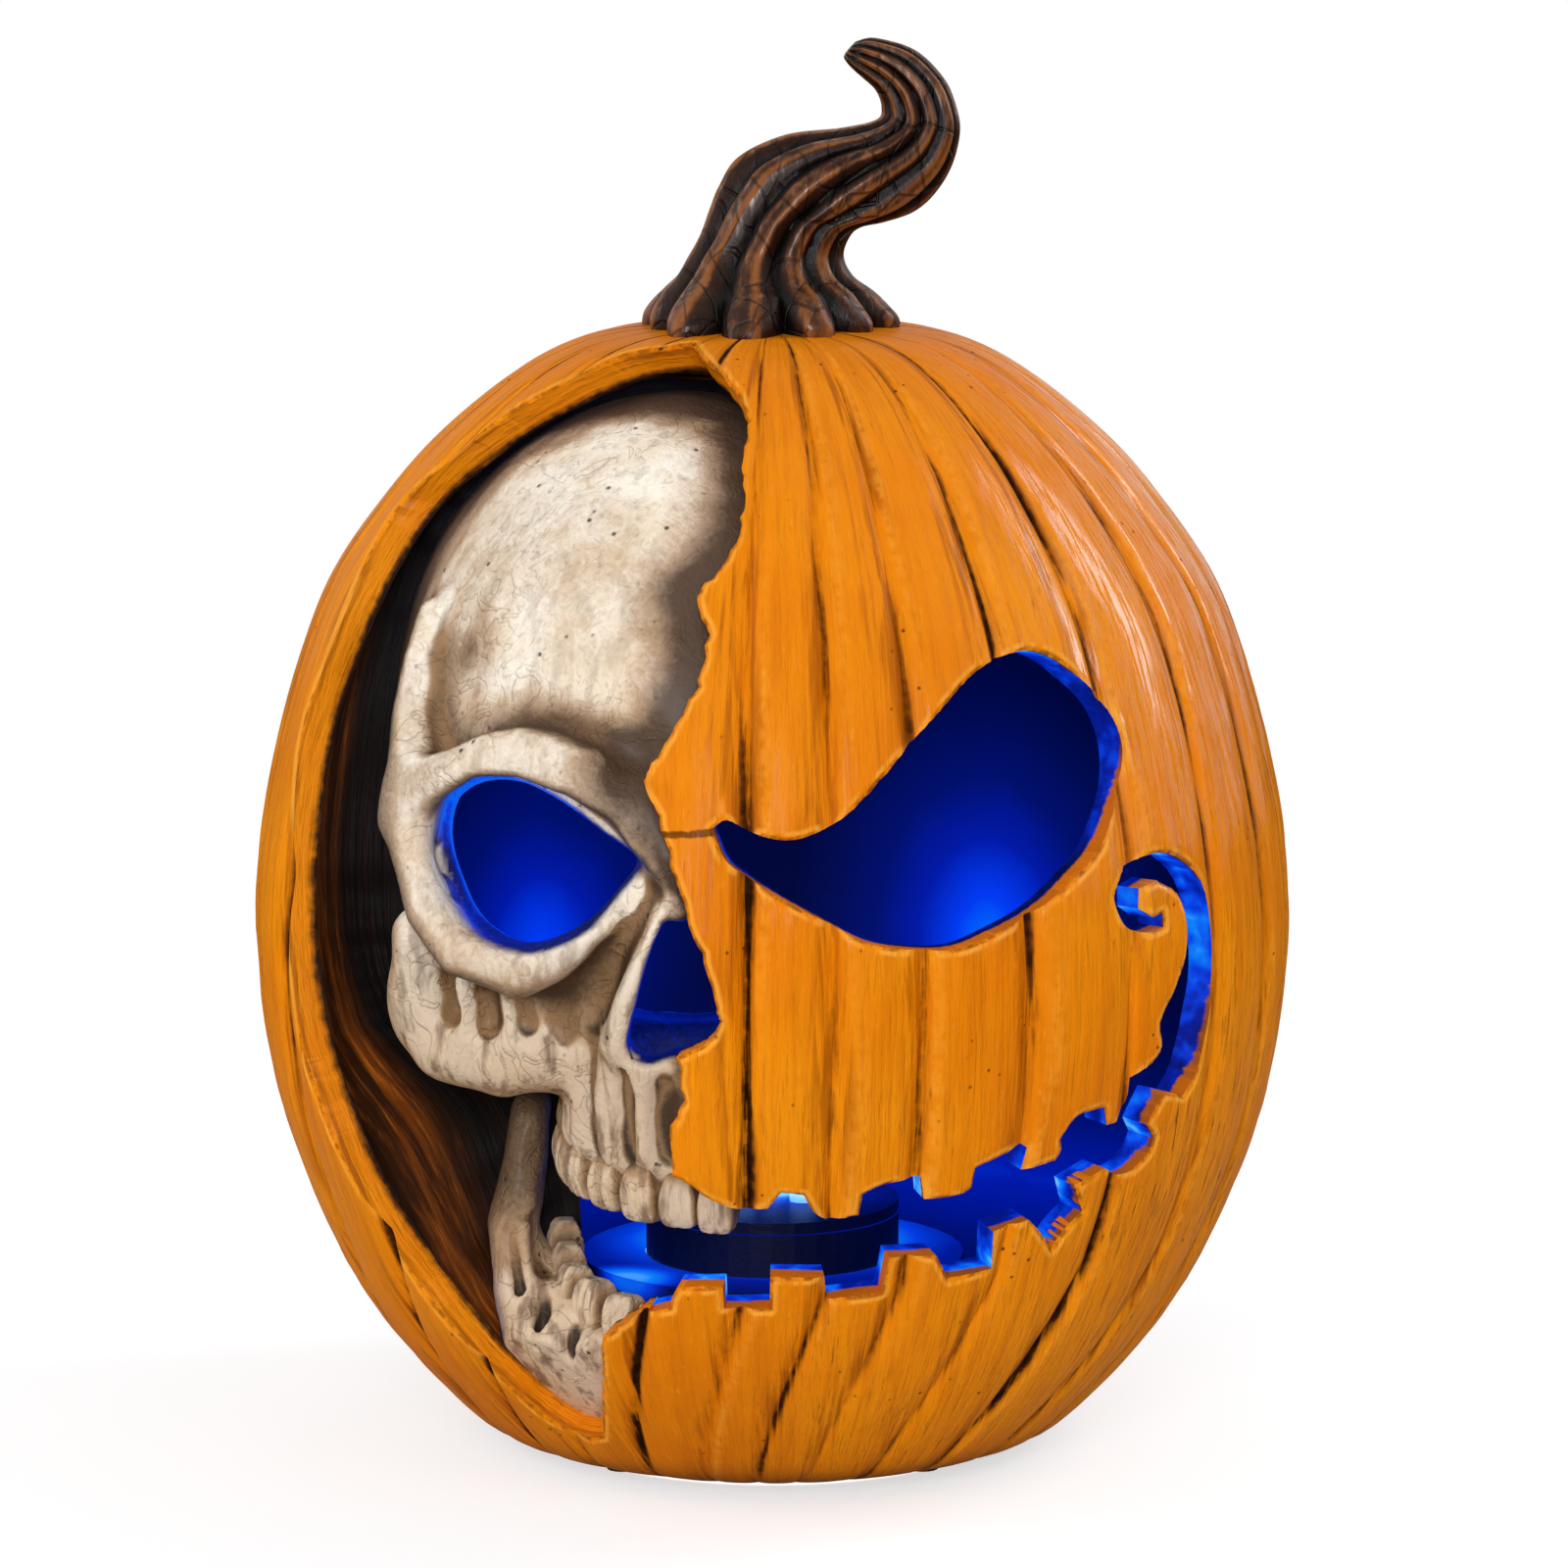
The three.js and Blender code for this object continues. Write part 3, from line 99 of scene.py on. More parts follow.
# One painted finish: a Principled shader and the nodes that vary it
class Paint:
    def __init__(self, name):
        self.material = bpy.data.materials.new(name)
        self.material.use_nodes = True
        self.tree = self.material.node_tree
        self.shader = self.tree.nodes["Principled BSDF"]

    def node(self, kind, settings=None, inputs=None):
        made = self.tree.nodes.new(kind)
        for key, value in (settings or {}).items():
            if key == "stops":
                ramp = made.color_ramp
                while len(ramp.elements) < len(value):
                    ramp.elements.new(0.5)
                for element, (place, colour) in zip(ramp.elements, value):
                    element.position = place
                    element.color = (*colour, 1) if len(colour) == 3 else colour
            else:
                setattr(made, key, value)
        pairs = inputs.items() if isinstance(inputs, dict) else enumerate(inputs or [])
        for key, value in pairs:
            if isinstance(value, Value):
                self.tree.links.new(value.socket, made.inputs[key])
            else:
                made.inputs[key].default_value = value
        return [Value(self, s) for s in made.outputs if s.enabled]

    def set(self, **sockets):
        for key, value in sockets.items():
            socket = self.shader.inputs[key.replace("_", " ")]
            if isinstance(value, Value):
                self.tree.links.new(value.socket, socket)
            else:
                socket.default_value = value
        return self

    def place(self):
        return self.node("ShaderNodeTexCoord")[3]

    def xyz(self, vector):
        return self.node("ShaderNodeSeparateXYZ", {}, [vector])

    def vector(self, x, y, z):
        return self.node("ShaderNodeCombineXYZ", {}, [x, y, z])[0]

    def noise(self, vector, scale, detail=3, rough=0.55, distortion=0.0):
        return self.node("ShaderNodeTexNoise", {}, {"Vector": vector, "Scale": scale, "Detail": detail,
                         "Roughness": rough, "Distortion": distortion})[0]

    def mix(self, factor, a, b):
        made = self.tree.nodes.new("ShaderNodeMix")
        made.data_type = "RGBA"
        for key, value in ((0, factor), (6, a), (7, b)):
            if isinstance(value, Value):
                self.tree.links.new(value.socket, made.inputs[key])
            elif key == 0:
                made.inputs[key].default_value = value
            else:
                made.inputs[key].default_value = (*value, 1)
        return Value(self, made.outputs[2])

    def attribute(self, name):
        return self.node("ShaderNodeAttribute", {"attribute_name": name})[2]

    def bump(self, height, distance, strength=1.0):
        return self.node("ShaderNodeBump", {}, {"Strength": strength, "Distance": distance, "Height": height})[0]


def srgb(red, green, blue):
    """A screen colour, given from 0 to 255, as the linear one that the shaders take."""
    return tuple((v / 255 / 12.92) if v <= 10 else ((v / 255 + 0.055) / 1.055) ** 2.4 for v in (red, green, blue))


def clear_selection():
    if bpy.context.object and bpy.context.object.mode != "OBJECT":
        bpy.ops.object.mode_set(mode="OBJECT")
    bpy.ops.object.select_all(action="DESELECT")


def pick(piece):
    clear_selection()
    piece.select_set(True)
    bpy.context.view_layer.objects.active = piece


def white_sheet():
    """Clear from below, and with a hole under the foot, so that the underside can be lit and looked at."""
    clear_selection()
    bpy.ops.mesh.primitive_plane_add(size=24, location=(0, 0, 0))
    sheet = bpy.context.object
    sheet.name = "white_sheet"
    paint = Paint("white_sheet")
    paint.set(Base_Color=(0.44, 0.453, 0.462, 1), Roughness=0.9)
    seen = paint.node("ShaderNodeLightPath")[0]
    x, y, _ = paint.xyz(paint.place())
    away = (x * x + y * y).maths("SQRT")
    hole_radius = 0.05
    far = away.over(0.25, 0.62)
    glow = paint.node("ShaderNodeEmission", {}, {"Color": (1, 1, 1, 1), "Strength": seen})[0]
    lift = paint.node("ShaderNodeEmission", {}, {"Color": (1, 1, 1, 1), "Strength": seen * 0.62})[0]
    near = paint.node("ShaderNodeAddShader", {}, [Value(paint, paint.shader.outputs[0]), lift])[0]
    both = paint.node("ShaderNodeMixShader", {}, [far, near, glow])[0]
    from_below = paint.node("ShaderNodeNewGeometry")[6]
    clear = paint.node("ShaderNodeBsdfTransparent")[0]
    hole = 1 - away.over(hole_radius - 0.0005, hole_radius)
    both = paint.node("ShaderNodeMixShader", {}, [from_below.most(hole), both, clear])[0]
    paint.tree.links.new(both.socket, paint.tree.nodes["Material Output"].inputs[0])
    sheet.data.materials.append(paint.material)


white_sheet()
world = bpy.data.worlds.new("daylight")
bpy.context.scene.world = world
world.use_nodes = True
sky = world.node_tree
sky_light = sky.nodes["Background"]
sky_light.inputs[0].default_value = (1, 1, 1, 1)
dim = 0.5  # the sky's level as a light; what is seen of it is white
paths = sky.nodes.new("ShaderNodeLightPath")
seen = paths.outputs["Is Camera Ray"]
for other in ("Is Glossy Ray", "Is Transmission Ray"):
    either = sky.nodes.new("ShaderNodeMath")
    either.operation = "MAXIMUM"
    sky.links.new(seen, either.inputs[0])
    sky.links.new(paths.outputs[other], either.inputs[1])
    seen = either.outputs[0]
level = sky.nodes.new("ShaderNodeMath")
level.operation = "MULTIPLY_ADD"
sky.links.new(seen, level.inputs[0])
level.inputs[1].default_value = 1 - dim
level.inputs[2].default_value = dim
sky.links.new(level.outputs[0], sky_light.inputs[1])


# ---------------------------------------------------------------- pumpkin body
# A hollow casting of resin, ribbed like a squash and painted orange with brown
# brushed into its grooves; the eye, the grin and the broken side are moulded in.
R, H, pad = 0.118, 0.256, 0.001  # radius, height without the stem, and thickness of the foot pads, in metres
wall, glue_gap = 0.008, 0.0009
profile = np.array([  # outlines are shares of the radius across and of the height up
    (0.44, 0), (0.545, 0.015), (0.614, 0.038), (0.724, 0.092), (0.806, 0.145), (0.868, 0.2),
    (0.938, 0.28), (0.98, 0.36), (1, 0.46), (0.99, 0.546), (0.959, 0.625), (0.912, 0.704),
    (0.843, 0.783), (0.723, 0.861), (0.614, 0.914), (0.466, 0.966), (0.327, 0.992), (0.16, 1.0), (0.08, 1.0)])
eye_outline = [
    (-0.11, 0.623), (-0.083, 0.63), (-0.039, 0.62), (0.023, 0.614), (0.076, 0.619), (0.138, 0.635),
    (0.254, 0.69), (0.316, 0.72), (0.376, 0.746), (0.456, 0.759), (0.511, 0.753), (0.568, 0.733),
    (0.618, 0.71), (0.647, 0.681), (0.652, 0.65), (0.636, 0.621), (0.601, 0.589), (0.545, 0.565),
    (0.481, 0.544), (0.405, 0.529), (0.337, 0.519), (0.261, 0.52), (0.179, 0.527), (0.105, 0.544),
    (0.023, 0.564), (-0.039, 0.581), (-0.085, 0.597)]
grin_outline = [
    (-0.23, 0.272), (-0.158, 0.294), (-0.114, 0.304), (-0.061, 0.295), (-0.009, 0.297), (0.016, 0.311),
    (0.057, 0.309), (0.075, 0.294), (0.1, 0.285), (0.159, 0.289), (0.166, 0.308), (0.209, 0.317),
    (0.276, 0.321), (0.28, 0.301), (0.343, 0.302), (0.368, 0.308), (0.375, 0.326), (0.464, 0.343),
    (0.475, 0.339), (0.465, 0.319), (0.525, 0.325), (0.536, 0.333), (0.534, 0.343), (0.565, 0.362),
    (0.617, 0.367), (0.623, 0.35), (0.645, 0.351), (0.667, 0.366), (0.673, 0.388), (0.71, 0.399),
    (0.729, 0.412), (0.724, 0.433), (0.752, 0.46), (0.773, 0.487), (0.775, 0.516), (0.757, 0.542),
    (0.715, 0.557), (0.685, 0.552), (0.685, 0.535), (0.708, 0.526), (0.727, 0.529), (0.729, 0.516),
    (0.694, 0.514), (0.655, 0.524), (0.636, 0.542), (0.636, 0.554), (0.66, 0.572), (0.708, 0.58),
    (0.756, 0.573), (0.804, 0.548), (0.828, 0.511), (0.837, 0.467), (0.824, 0.429), (0.8, 0.383),
    (0.772, 0.362), (0.732, 0.37), (0.701, 0.343), (0.715, 0.329), (0.704, 0.316), (0.674, 0.303),
    (0.648, 0.3), (0.621, 0.31), (0.563, 0.298), (0.578, 0.272), (0.543, 0.256), (0.521, 0.24),
    (0.496, 0.26), (0.477, 0.272), (0.41, 0.265), (0.409, 0.229), (0.327, 0.223), (0.303, 0.247),
    (0.216, 0.248), (0.204, 0.214), (0.101, 0.21), (0.097, 0.231), (-0.004, 0.232), (-0.005, 0.202),
    (-0.09, 0.201), (-0.092, 0.222), (-0.184, 0.22), (-0.19, 0.2), (-0.231, 0.194)]
niche_left = [
    (-0.15, 0.996), (-0.186, 0.994), (-0.274, 0.987), (-0.347, 0.974), (-0.43, 0.954), (-0.533, 0.925),
    (-0.634, 0.887), (-0.713, 0.849), (-0.784, 0.795), (-0.847, 0.725), (-0.896, 0.655), (-0.919, 0.575),
    (-0.926, 0.514), (-0.916, 0.457), (-0.894, 0.393), (-0.855, 0.341), (-0.799, 0.281), (-0.716, 0.219),
    (-0.624, 0.161), (-0.514, 0.104), (-0.422, 0.065), (-0.348, 0.05)]
niche_right = [
    (-0.147, 0.995), (-0.125, 0.988), (-0.086, 0.974), (-0.06, 0.96), (-0.043, 0.94), (-0.052, 0.909),
    (-0.05, 0.883), (-0.059, 0.859), (-0.091, 0.833), (-0.13, 0.817), (-0.137, 0.803), (-0.118, 0.78),
    (-0.135, 0.744), (-0.158, 0.722), (-0.197, 0.691), (-0.226, 0.67), (-0.233, 0.655), (-0.201, 0.623),
    (-0.176, 0.582), (-0.153, 0.544), (-0.124, 0.511), (-0.101, 0.474), (-0.096, 0.462), (-0.117, 0.445),
    (-0.173, 0.43), (-0.159, 0.392), (-0.185, 0.37), (-0.184, 0.325), (-0.156, 0.318), (-0.114, 0.304),
    (-0.149, 0.248), (-0.19, 0.2), (-0.239, 0.195), (-0.277, 0.181), (-0.316, 0.167), (-0.32, 0.15),
    (-0.316, 0.132), (-0.322, 0.109), (-0.319, 0.093), (-0.321, 0.056)]


def smooth_line(points, steps, closed=False, corner=None):
    """Points along a smooth line through the given ones; a turn sharper than corner degrees stays a corner."""
    points = np.asarray(points, float)
    count, width = points.shape
    scale = np.array([R, H] + [1] * (width - 2))[:width] if corner else np.ones(width)
    made = []
    spans = count if closed else count - 1
    for i in range(spans):
        a, b = points[i], points[(i + 1) % count]
        before = points[(i - 1) % count] if closed or i > 0 else 2 * a - b
        after = points[(i + 2) % count] if closed or i + 2 < count else 2 * b - a

        def slope(p, q, r):
            u, v = (q - p) * scale, (r - q) * scale
            turn = np.degrees(np.arccos(np.clip(u @ v / (np.linalg.norm(u) * np.linalg.norm(v) + 1e-12), -1, 1)))
            return None if corner and turn > corner else (r - p) / 2

        start, end = slope(before, a, b), slope(a, b, after)
        start = b - a if start is None else start
        end = b - a if end is None else end
        for k in range(steps):
            t = k / steps
            made.append((2 * t**3 - 3 * t**2 + 1) * a + (t**3 - 2 * t**2 + t) * start
                        + (3 * t**2 - 2 * t**3) * b + (t**3 - t**2) * end)
    if not closed:
        made.append(points[-1])
    return np.array(made)


profile_line = smooth_line(profile, 7)
profile_line[:, 0] = np.minimum(profile_line[:, 0], 1)
profile_line[:, 1] = np.clip(profile_line[:, 1], 0, 1)
rising = np.maximum.accumulate(profile_line[:, 1]) + np.arange(len(profile_line)) * 1e-9


def surface_radius(z):
    return R * np.interp(np.asarray(z) / H, rising, profile_line[:, 0])


def on_surface(outline, scale=1.0):
    """Points of the pumpkin's front, from shares across and up; scale moves them to or from its axis."""
    outline = np.asarray(outline, float)
    x, z = outline[:, 0] * R, outline[:, 1] * H
    y = -np.sqrt(np.maximum(surface_radius(z) ** 2 - x**2, 0))
    points = np.stack([x, y, z], 1)
    points = (points - (0, 0, H / 2)) * (scale, scale, 0.7 + 0.3 * scale) + (0, 0, H / 2)
    return points + (0, 0, pad)


def values_of(items, name, width=3, kind=float):
    flat = np.empty(len(items) * width, kind)
    items.foreach_get(name, flat)
    return flat.reshape(-1, width)


def points_of(piece):
    return values_of(piece.data.vertices, "co")


def normals_of(piece):
    return values_of(piece.data.vertices, "normal")


def place_points(piece, points):
    piece.data.vertices.foreach_set("co", points.ravel())
    piece.data.update()


def store(piece, name, values):
    made = piece.data.attributes.get(name) or piece.data.attributes.new(name, "FLOAT", "POINT")
    made.data.foreach_set("value", np.asarray(values, float))


def edit(piece, *steps, chosen=None):
    """Runs mesh operators, given with their settings, on all of a piece or on its chosen points."""
    pick(piece)
    bpy.ops.object.mode_set(mode="EDIT")
    bpy.ops.mesh.select_all(action="SELECT" if chosen is None else "DESELECT")
    if chosen is not None:
        bpy.ops.object.mode_set(mode="OBJECT")
        piece.data.vertices.foreach_set("select", chosen)
        bpy.ops.object.mode_set(mode="EDIT")
    for step, settings in steps:
        step(**settings)
    bpy.ops.object.mode_set(mode="OBJECT")


outwards = (bpy.ops.mesh.normals_make_consistent, {"inside": False})
into_triangles = (bpy.ops.mesh.quads_convert_to_tris, {"quad_method": "BEAUTY", "ngon_method": "BEAUTY"})
open_edges = (bpy.ops.mesh.select_non_manifold, {
    "extend": False, "use_wire": False, "use_multi_face": False, "use_non_contiguous": False, "use_verts": False})


def ring_tube(name, rings, closed=False):
    """A tube through rings of equally many points: a circle is extruded once for each further ring, and every
    ring is then set in its place. Its two ends are joined to each other if it is closed, and capped otherwise."""
    rings = np.asarray(rings, float)
    levels, count = rings.shape[:2]
    clear_selection()
    bpy.ops.mesh.primitive_circle_add(vertices=count, radius=1, location=(0, 0, 0))
    tube = bpy.context.object
    tube.name = name
    edit(tube, (bpy.ops.mesh.extrude_repeat, {"steps": levels - 1, "offset": (0, 0, 1)}))
    flat = points_of(tube)
    level = np.clip(np.round(flat[:, 2]).astype(int), 0, levels - 1)
    turn = np.round(np.arctan2(flat[:, 1], flat[:, 0]) / (2 * np.pi) * count - count / 4).astype(int) % count
    place_points(tube, rings[level, turn])
    store(tube, "order", level * count + turn)
    close = bpy.ops.mesh.bridge_edge_loops if closed else bpy.ops.mesh.edge_face_add
    edit(tube, open_edges, (close, {}), (bpy.ops.mesh.select_all, {"action": "SELECT"}), outwards)
    return tube


def order_of(tube):
    """Where in the rings of its tube each point comes from."""
    return values_of(tube.data.attributes["order"].data, "value", 1)[:, 0].astype(int)


def smooth_by_angle(piece, degrees):
    pick(piece)
    bpy.ops.object.shade_smooth_by_angle(angle=math.radians(degrees))


def fine_profile():
    """Radius and height along the outside of the casting, and along its whole section, once round its wall."""
    line = profile_line * (R, H)
    steps = np.concatenate([[0], np.cumsum(np.hypot(*np.diff(line, axis=0).T))])
    at = np.linspace(0, steps[-1], 110)
    outer = np.stack([np.interp(at, steps, line[:, 0]), np.interp(at, steps, line[:, 1])], 1)
    along = np.gradient(outer, axis=0)
    along /= np.linalg.norm(along, axis=1)[:, None]
    inner = outer + np.stack([-along[:, 1], along[:, 0]], 1) * wall
    peg, well, base = 0.0093, 0.04434, 0.009  # radius of the stem's hole, of the light's hole, and base thickness
    inner = inner[(inner[:, 1] > base + 0.0005) & (inner[:, 0] > 0.012)][::3][::-1]
    under = [(inner[-1, 0], base), (well, base), (well, 0)]
    return outer, np.vstack([outer, [(peg, H)], [(peg, H - wall)], inner, under])


groove_turns = np.array([
    -3, 6.5, 16, 28.5, 42.5, 57.5, 71, 83, 97, 112.2, 127.4, 142.6, 157.8,
    173, 187, 202.2, 217.4, 232.6, 247.8, 263, 277, 291, 305, 319, 332, 345])
foot_twist, foot_twist_share = 46, 0.22


def pumpkin_turns():
    """Degrees round from the front for every column, closer together at the grooves."""
    steps = np.array([0, 0.25, 0.55, 0.9, 1.35, 2.0, 3.0])
    wide_rib = 11
    turns = []
    for turn, after in zip(groove_turns, np.append(groove_turns[1:], groove_turns[0] + 360)):
        middle = np.linspace(turn + 3, after - 3, 4 + int(after - turn > wide_rib))[1:-1]
        turns += [turn + steps, middle, after - steps[:0:-1]]
    return np.concatenate(turns)


ribs = len(groove_turns)
groove_random = np.random.default_rng(31)
groove_depth = groove_random.uniform(0.8, 1.2, ribs)
groove_waver = groove_random.uniform(0, 2 * np.pi, (ribs, 4))


def rib_shares(turn, up):
    """Of a place on the body: how far its rib has fallen off, its groove, the lip beside the groove, and the
    valley, a wide band beside one side of the groove."""
    turn = (turn + foot_twist * np.maximum(0, foot_twist_share - up) + 3) % 360 - 3
    ends = np.append(groove_turns, groove_turns[0] + 360)
    rib = np.clip(np.searchsorted(ends, turn, side="right") - 1, 0, ribs - 1)
    t = (turn - ends[rib]) / (ends[rib + 1] - ends[rib])
    near = np.where(t < 0.5, rib, (rib + 1) % ribs)
    waver = groove_waver[near]
    sway = 0.32 * np.sin(9 * up + waver[..., 0]) + 0.18 * np.sin(23 * up + waver[..., 1])
    off = np.where(t < 0.5, turn - ends[rib], turn - ends[rib + 1]) - sway * np.sin(np.pi * np.clip(up, 0, 1))
    wide = 1.0 + 0.28 * np.sin(14 * up + waver[..., 2])
    strong = 0.72 + 0.28 * np.sin(8 * up + waver[..., 3])
    groove = groove_depth[near] * strong * np.exp(-np.abs(off / wide) ** 1.6)
    lip = np.exp(-((off - 1.9 * wide) / 0.62) ** 2) * (0.5 + 0.5 * np.sin(11 * up + waver[..., 1]))
    valley = np.exp(-((off + 1.1) / (2.6 + 1.2 * np.sin(6 * up + waver[..., 0]))) ** 2)
    return np.abs(2 * t - 1) ** 2.4, groove, lip, valley


def groove_shares(points):
    turn = np.degrees(np.arctan2(points[:, 1], points[:, 0])) + 90
    _, groove, lip, valley = rib_shares(turn, (points[:, 2] - pad) / H)
    return {"groove": np.clip(groove, 0, 1.2), "valley": valley, "ridge": lip}


def turned_pumpkin():
    lip_height, rib_fall, groove_cut = 0.0006, 0.0019, 0.0015
    outer, section = fine_profile()
    turns = pumpkin_turns()
    radius, height = (np.repeat(column[:, None], len(turns), 1) for column in section.T)
    up = np.clip(height / H, 0, 1)
    turn = np.repeat(turns[None], len(section), 0) - foot_twist * np.maximum(0, foot_twist_share - up)
    fall, groove, lip = rib_shares(turn, up)[:3]
    fade = np.sin(np.pi * np.clip(up, 0.03, 0.999)) ** 0.35
    chatter = 0.00012 * np.sin(turn * 3.1 + 2 * np.sin(up * 40)) + 0.0001 * np.sin(turn * 1.7 + up * 60)
    out = np.arange(len(section))[:, None] < len(outer)
    shape = (lip_height * lip - rib_fall * fall - groove_cut * groove + chatter * (up > 0.004)) * fade
    radius = radius + np.where(out, np.minimum(shape, 0), 0)
    angle = np.radians(turn - 90)
    rings = np.stack([radius * np.cos(angle), radius * np.sin(angle), height + pad], -1)
    return ring_tube("pumpkin_body", rings, closed=True)


skin_slot, inside_slot, lip_slot, broken_slot = range(4)
inside_depth = 0.005  # faces deeper under the skin than this have the inside's finish
tool_start, tool_end, niche_tool_end = 0.82, 1.45, 1.18  # ends of the cutting tubes, as on_surface scales them


def give_slots(piece, index):
    """Room for the four finishes of the casting, and which of them each face has."""
    for _ in range(4):
        piece.data.materials.append(None)
    piece.data.polygons.foreach_set("material_index", index)


def cut_away(piece, name, rings, wall_slot):
    """Cuts the tube through these rings out of a piece; the walls that this leaves get the finish of that slot."""
    tool = ring_tube(name, rings)
    edit(tool, into_triangles)
    give_slots(tool, np.full(len(tool.data.polygons), wall_slot))
    pick(piece)
    cut = piece.modifiers.new("cut", "BOOLEAN")
    cut.operation, cut.object, cut.solver, cut.material_mode = "DIFFERENCE", tool, "EXACT", "INDEX"
    bpy.ops.object.modifier_apply(modifier=cut.name)
    bpy.data.objects.remove(tool)


def broken_edge(points, share):
    """A broken edge: each stretch gets small chips, the same on every run."""
    fine = smooth_line(points, 4, corner=38)
    chips = np.random.default_rng(7).normal(0, 1, len(fine))
    fine[1:-1, 0] += share * chips[1:-1]
    return fine


eye_line = smooth_line(eye_outline, 4, closed=True, corner=70)
grin_line = smooth_line(grin_outline, 3, closed=True, corner=42)
niche_edge = broken_edge(niche_right, 0.0028)
niche_edge = niche_edge[np.concatenate([[True], np.diff(np.minimum.accumulate(niche_edge[:, 1])) < 0])]
left_line = smooth_line(niche_left, 4)


def across_at(line, up):
    return np.interp(up, line[::-1, 1], line[::-1, 0])


def niche_rings():
    rings = []
    for right, up in niche_edge:
        row = np.stack([np.linspace(across_at(left_line, up), right, 9), np.full(9, up)], 1)
        rings.append(np.vstack([on_surface(row, tool_start), on_surface(row[::-1], niche_tool_end)]))
    return rings


def nearest(points, line):
    """Distance of each point from a closed line, and 1 metre for what lies well away from it."""
    a, b = line, np.roll(line, -1, 0)
    along = b - a
    size = np.maximum((along**2).sum(1), 1e-12)
    least = np.full(len(points), 1.0)
    near = np.where((points > line.min(0) - 0.012).all(1) & (points < line.max(0) + 0.012).all(1))[0]
    for part in np.array_split(near, max(1, len(near) // 4000)):
        t = np.clip(((points[part, None] - a) * along).sum(2) / size, 0, 1)
        least[part] = np.linalg.norm(points[part, None] - a - t[..., None] * along, axis=2).min(1)
    return least


def outward_of(points):
    """The pumpkin's own outward direction at each point, and how deep the point lies under its skin."""
    line = np.stack([profile_line[:, 0] * R, profile_line[:, 1] * H + pad], 1)
    flat = np.stack([np.hypot(points[:, 0], points[:, 1]), points[:, 2]], 1)
    near = np.concatenate([np.argmin(((part[:, None] - line) ** 2).sum(2), 1) for part in np.array_split(flat, 20)])
    along = np.gradient(line, axis=0)
    along /= np.maximum(np.linalg.norm(along, axis=1), 1e-9)[:, None]
    across = np.stack([along[:, 1], -along[:, 0]], 1)[near]
    turn = np.arctan2(points[:, 1], points[:, 0])
    way = np.stack([across[:, 0] * np.cos(turn), across[:, 0] * np.sin(turn), across[:, 1]], 1)
    return way, -((flat - line[near]) * across).sum(1)


eye_lip, grin_lip = on_surface(eye_line), on_surface(grin_line)
niche_lip = np.vstack([on_surface(niche_edge), on_surface(left_line[::-1])])


def from_lips(points):
    return np.min([nearest(points, lip) for lip in (eye_lip, grin_lip, niche_lip)], 0)


def carved_pumpkin():
    """The turned casting with its eye, grin and broken side cut, and with finer faces near their lips."""
    piece = turned_pumpkin()
    depth = outward_of(values_of(piece.data.polygons, "center"))[1]
    give_slots(piece, np.where(depth > inside_depth, inside_slot, skin_slot))
    for name, line in (("eye_tool", eye_line), ("grin_tool", grin_line)):
        cut_away(piece, name, [on_surface(line, tool_start), on_surface(line, tool_end)], lip_slot)
    cut_away(piece, "niche_tool", niche_rings(), broken_slot)
    for reach in (0.006, 0.0026):
        edit(piece, into_triangles, (bpy.ops.mesh.subdivide, {"number_cuts": 1}),
             chosen=from_lips(points_of(piece)) < reach)
    return piece


def round_lips(piece, reach=0.0017):
    """Rounds the skin over at the lips, and keeps for the paint how far each point is from a lip and a groove."""
    points = points_of(piece)
    way, depth = outward_of(points)
    edge = from_lips(points)
    part = np.clip(reach - edge, 0, reach)
    sink = (reach - np.sqrt(reach**2 - part**2)) * 0.75 * (depth < 0.0035)
    for name, share in groove_shares(points).items():
        store(piece, name, share * (depth < 0.006))
    store(piece, "lip", edge)
    store(piece, "depth", depth)
    place_points(piece, points - way * sink[:, None])
    smooth_by_angle(piece, 48)


pumpkin = carved_pumpkin()
round_lips(pumpkin)
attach(pumpkin, "lantern")
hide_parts("pumpkin_shell")


def brushed_orange(paint, place, streak=None):
    """The place's x, y and z, the orange without what gathers in the grooves, and the brush marks and chips;
    the brush marks and flecks are laid heavier towards the right side as painted shade.
    """
    x, y, z = paint.xyz(place)
    if streak is None:
        turn = paint.node("ShaderNodeMath", {"operation": "ARCTAN2"}, [y, x])[0]
        streak = paint.vector(turn * 0.11, (x * x + y * y).maths("SQRT") * 0.1, z * 0.06)
    fine = paint.noise(streak, 1250, 4, 0.65)
    broad = paint.noise(streak, 330, 4, 0.6, 0.4)
    patch = paint.noise(place, 17, 3, 0.6)
    chips = paint.noise(place, 420, 2, 0.5)
    low = 1 - z.over(0.02, 0.16)
    side = x.over(0.04, 0.112)
    base = paint.mix(patch.over(0.3, 0.7), srgb(229, 125, 4), srgb(240, 143, 10))
    base = paint.mix(broad.over(0.42, 0.68) * 0.34, base, srgb(194, 96, 3))
    # brush marks, denser towards the bottom, and heavier towards the right side (side) as painted shade
    rub = (fine.over(0.5, 0.7) * patch.over(0.34, 0.62)) * (0.2 + 0.16 * low + 0.4 * side)
    base = paint.mix(rub.clip(), base, srgb(122, 55, 2))
    fleck = paint.noise(streak, 800, 3, 0.7, 1.5).over(0.58, 0.7) * paint.noise(place, 34, 2, 0.5).over(0.48, 0.6)
    base = paint.mix(fleck * (0.3 + 0.3 * low + 0.45 * side).clip(), base, srgb(58, 24, 2))
    return x, y, z, base, fine, broad, chips


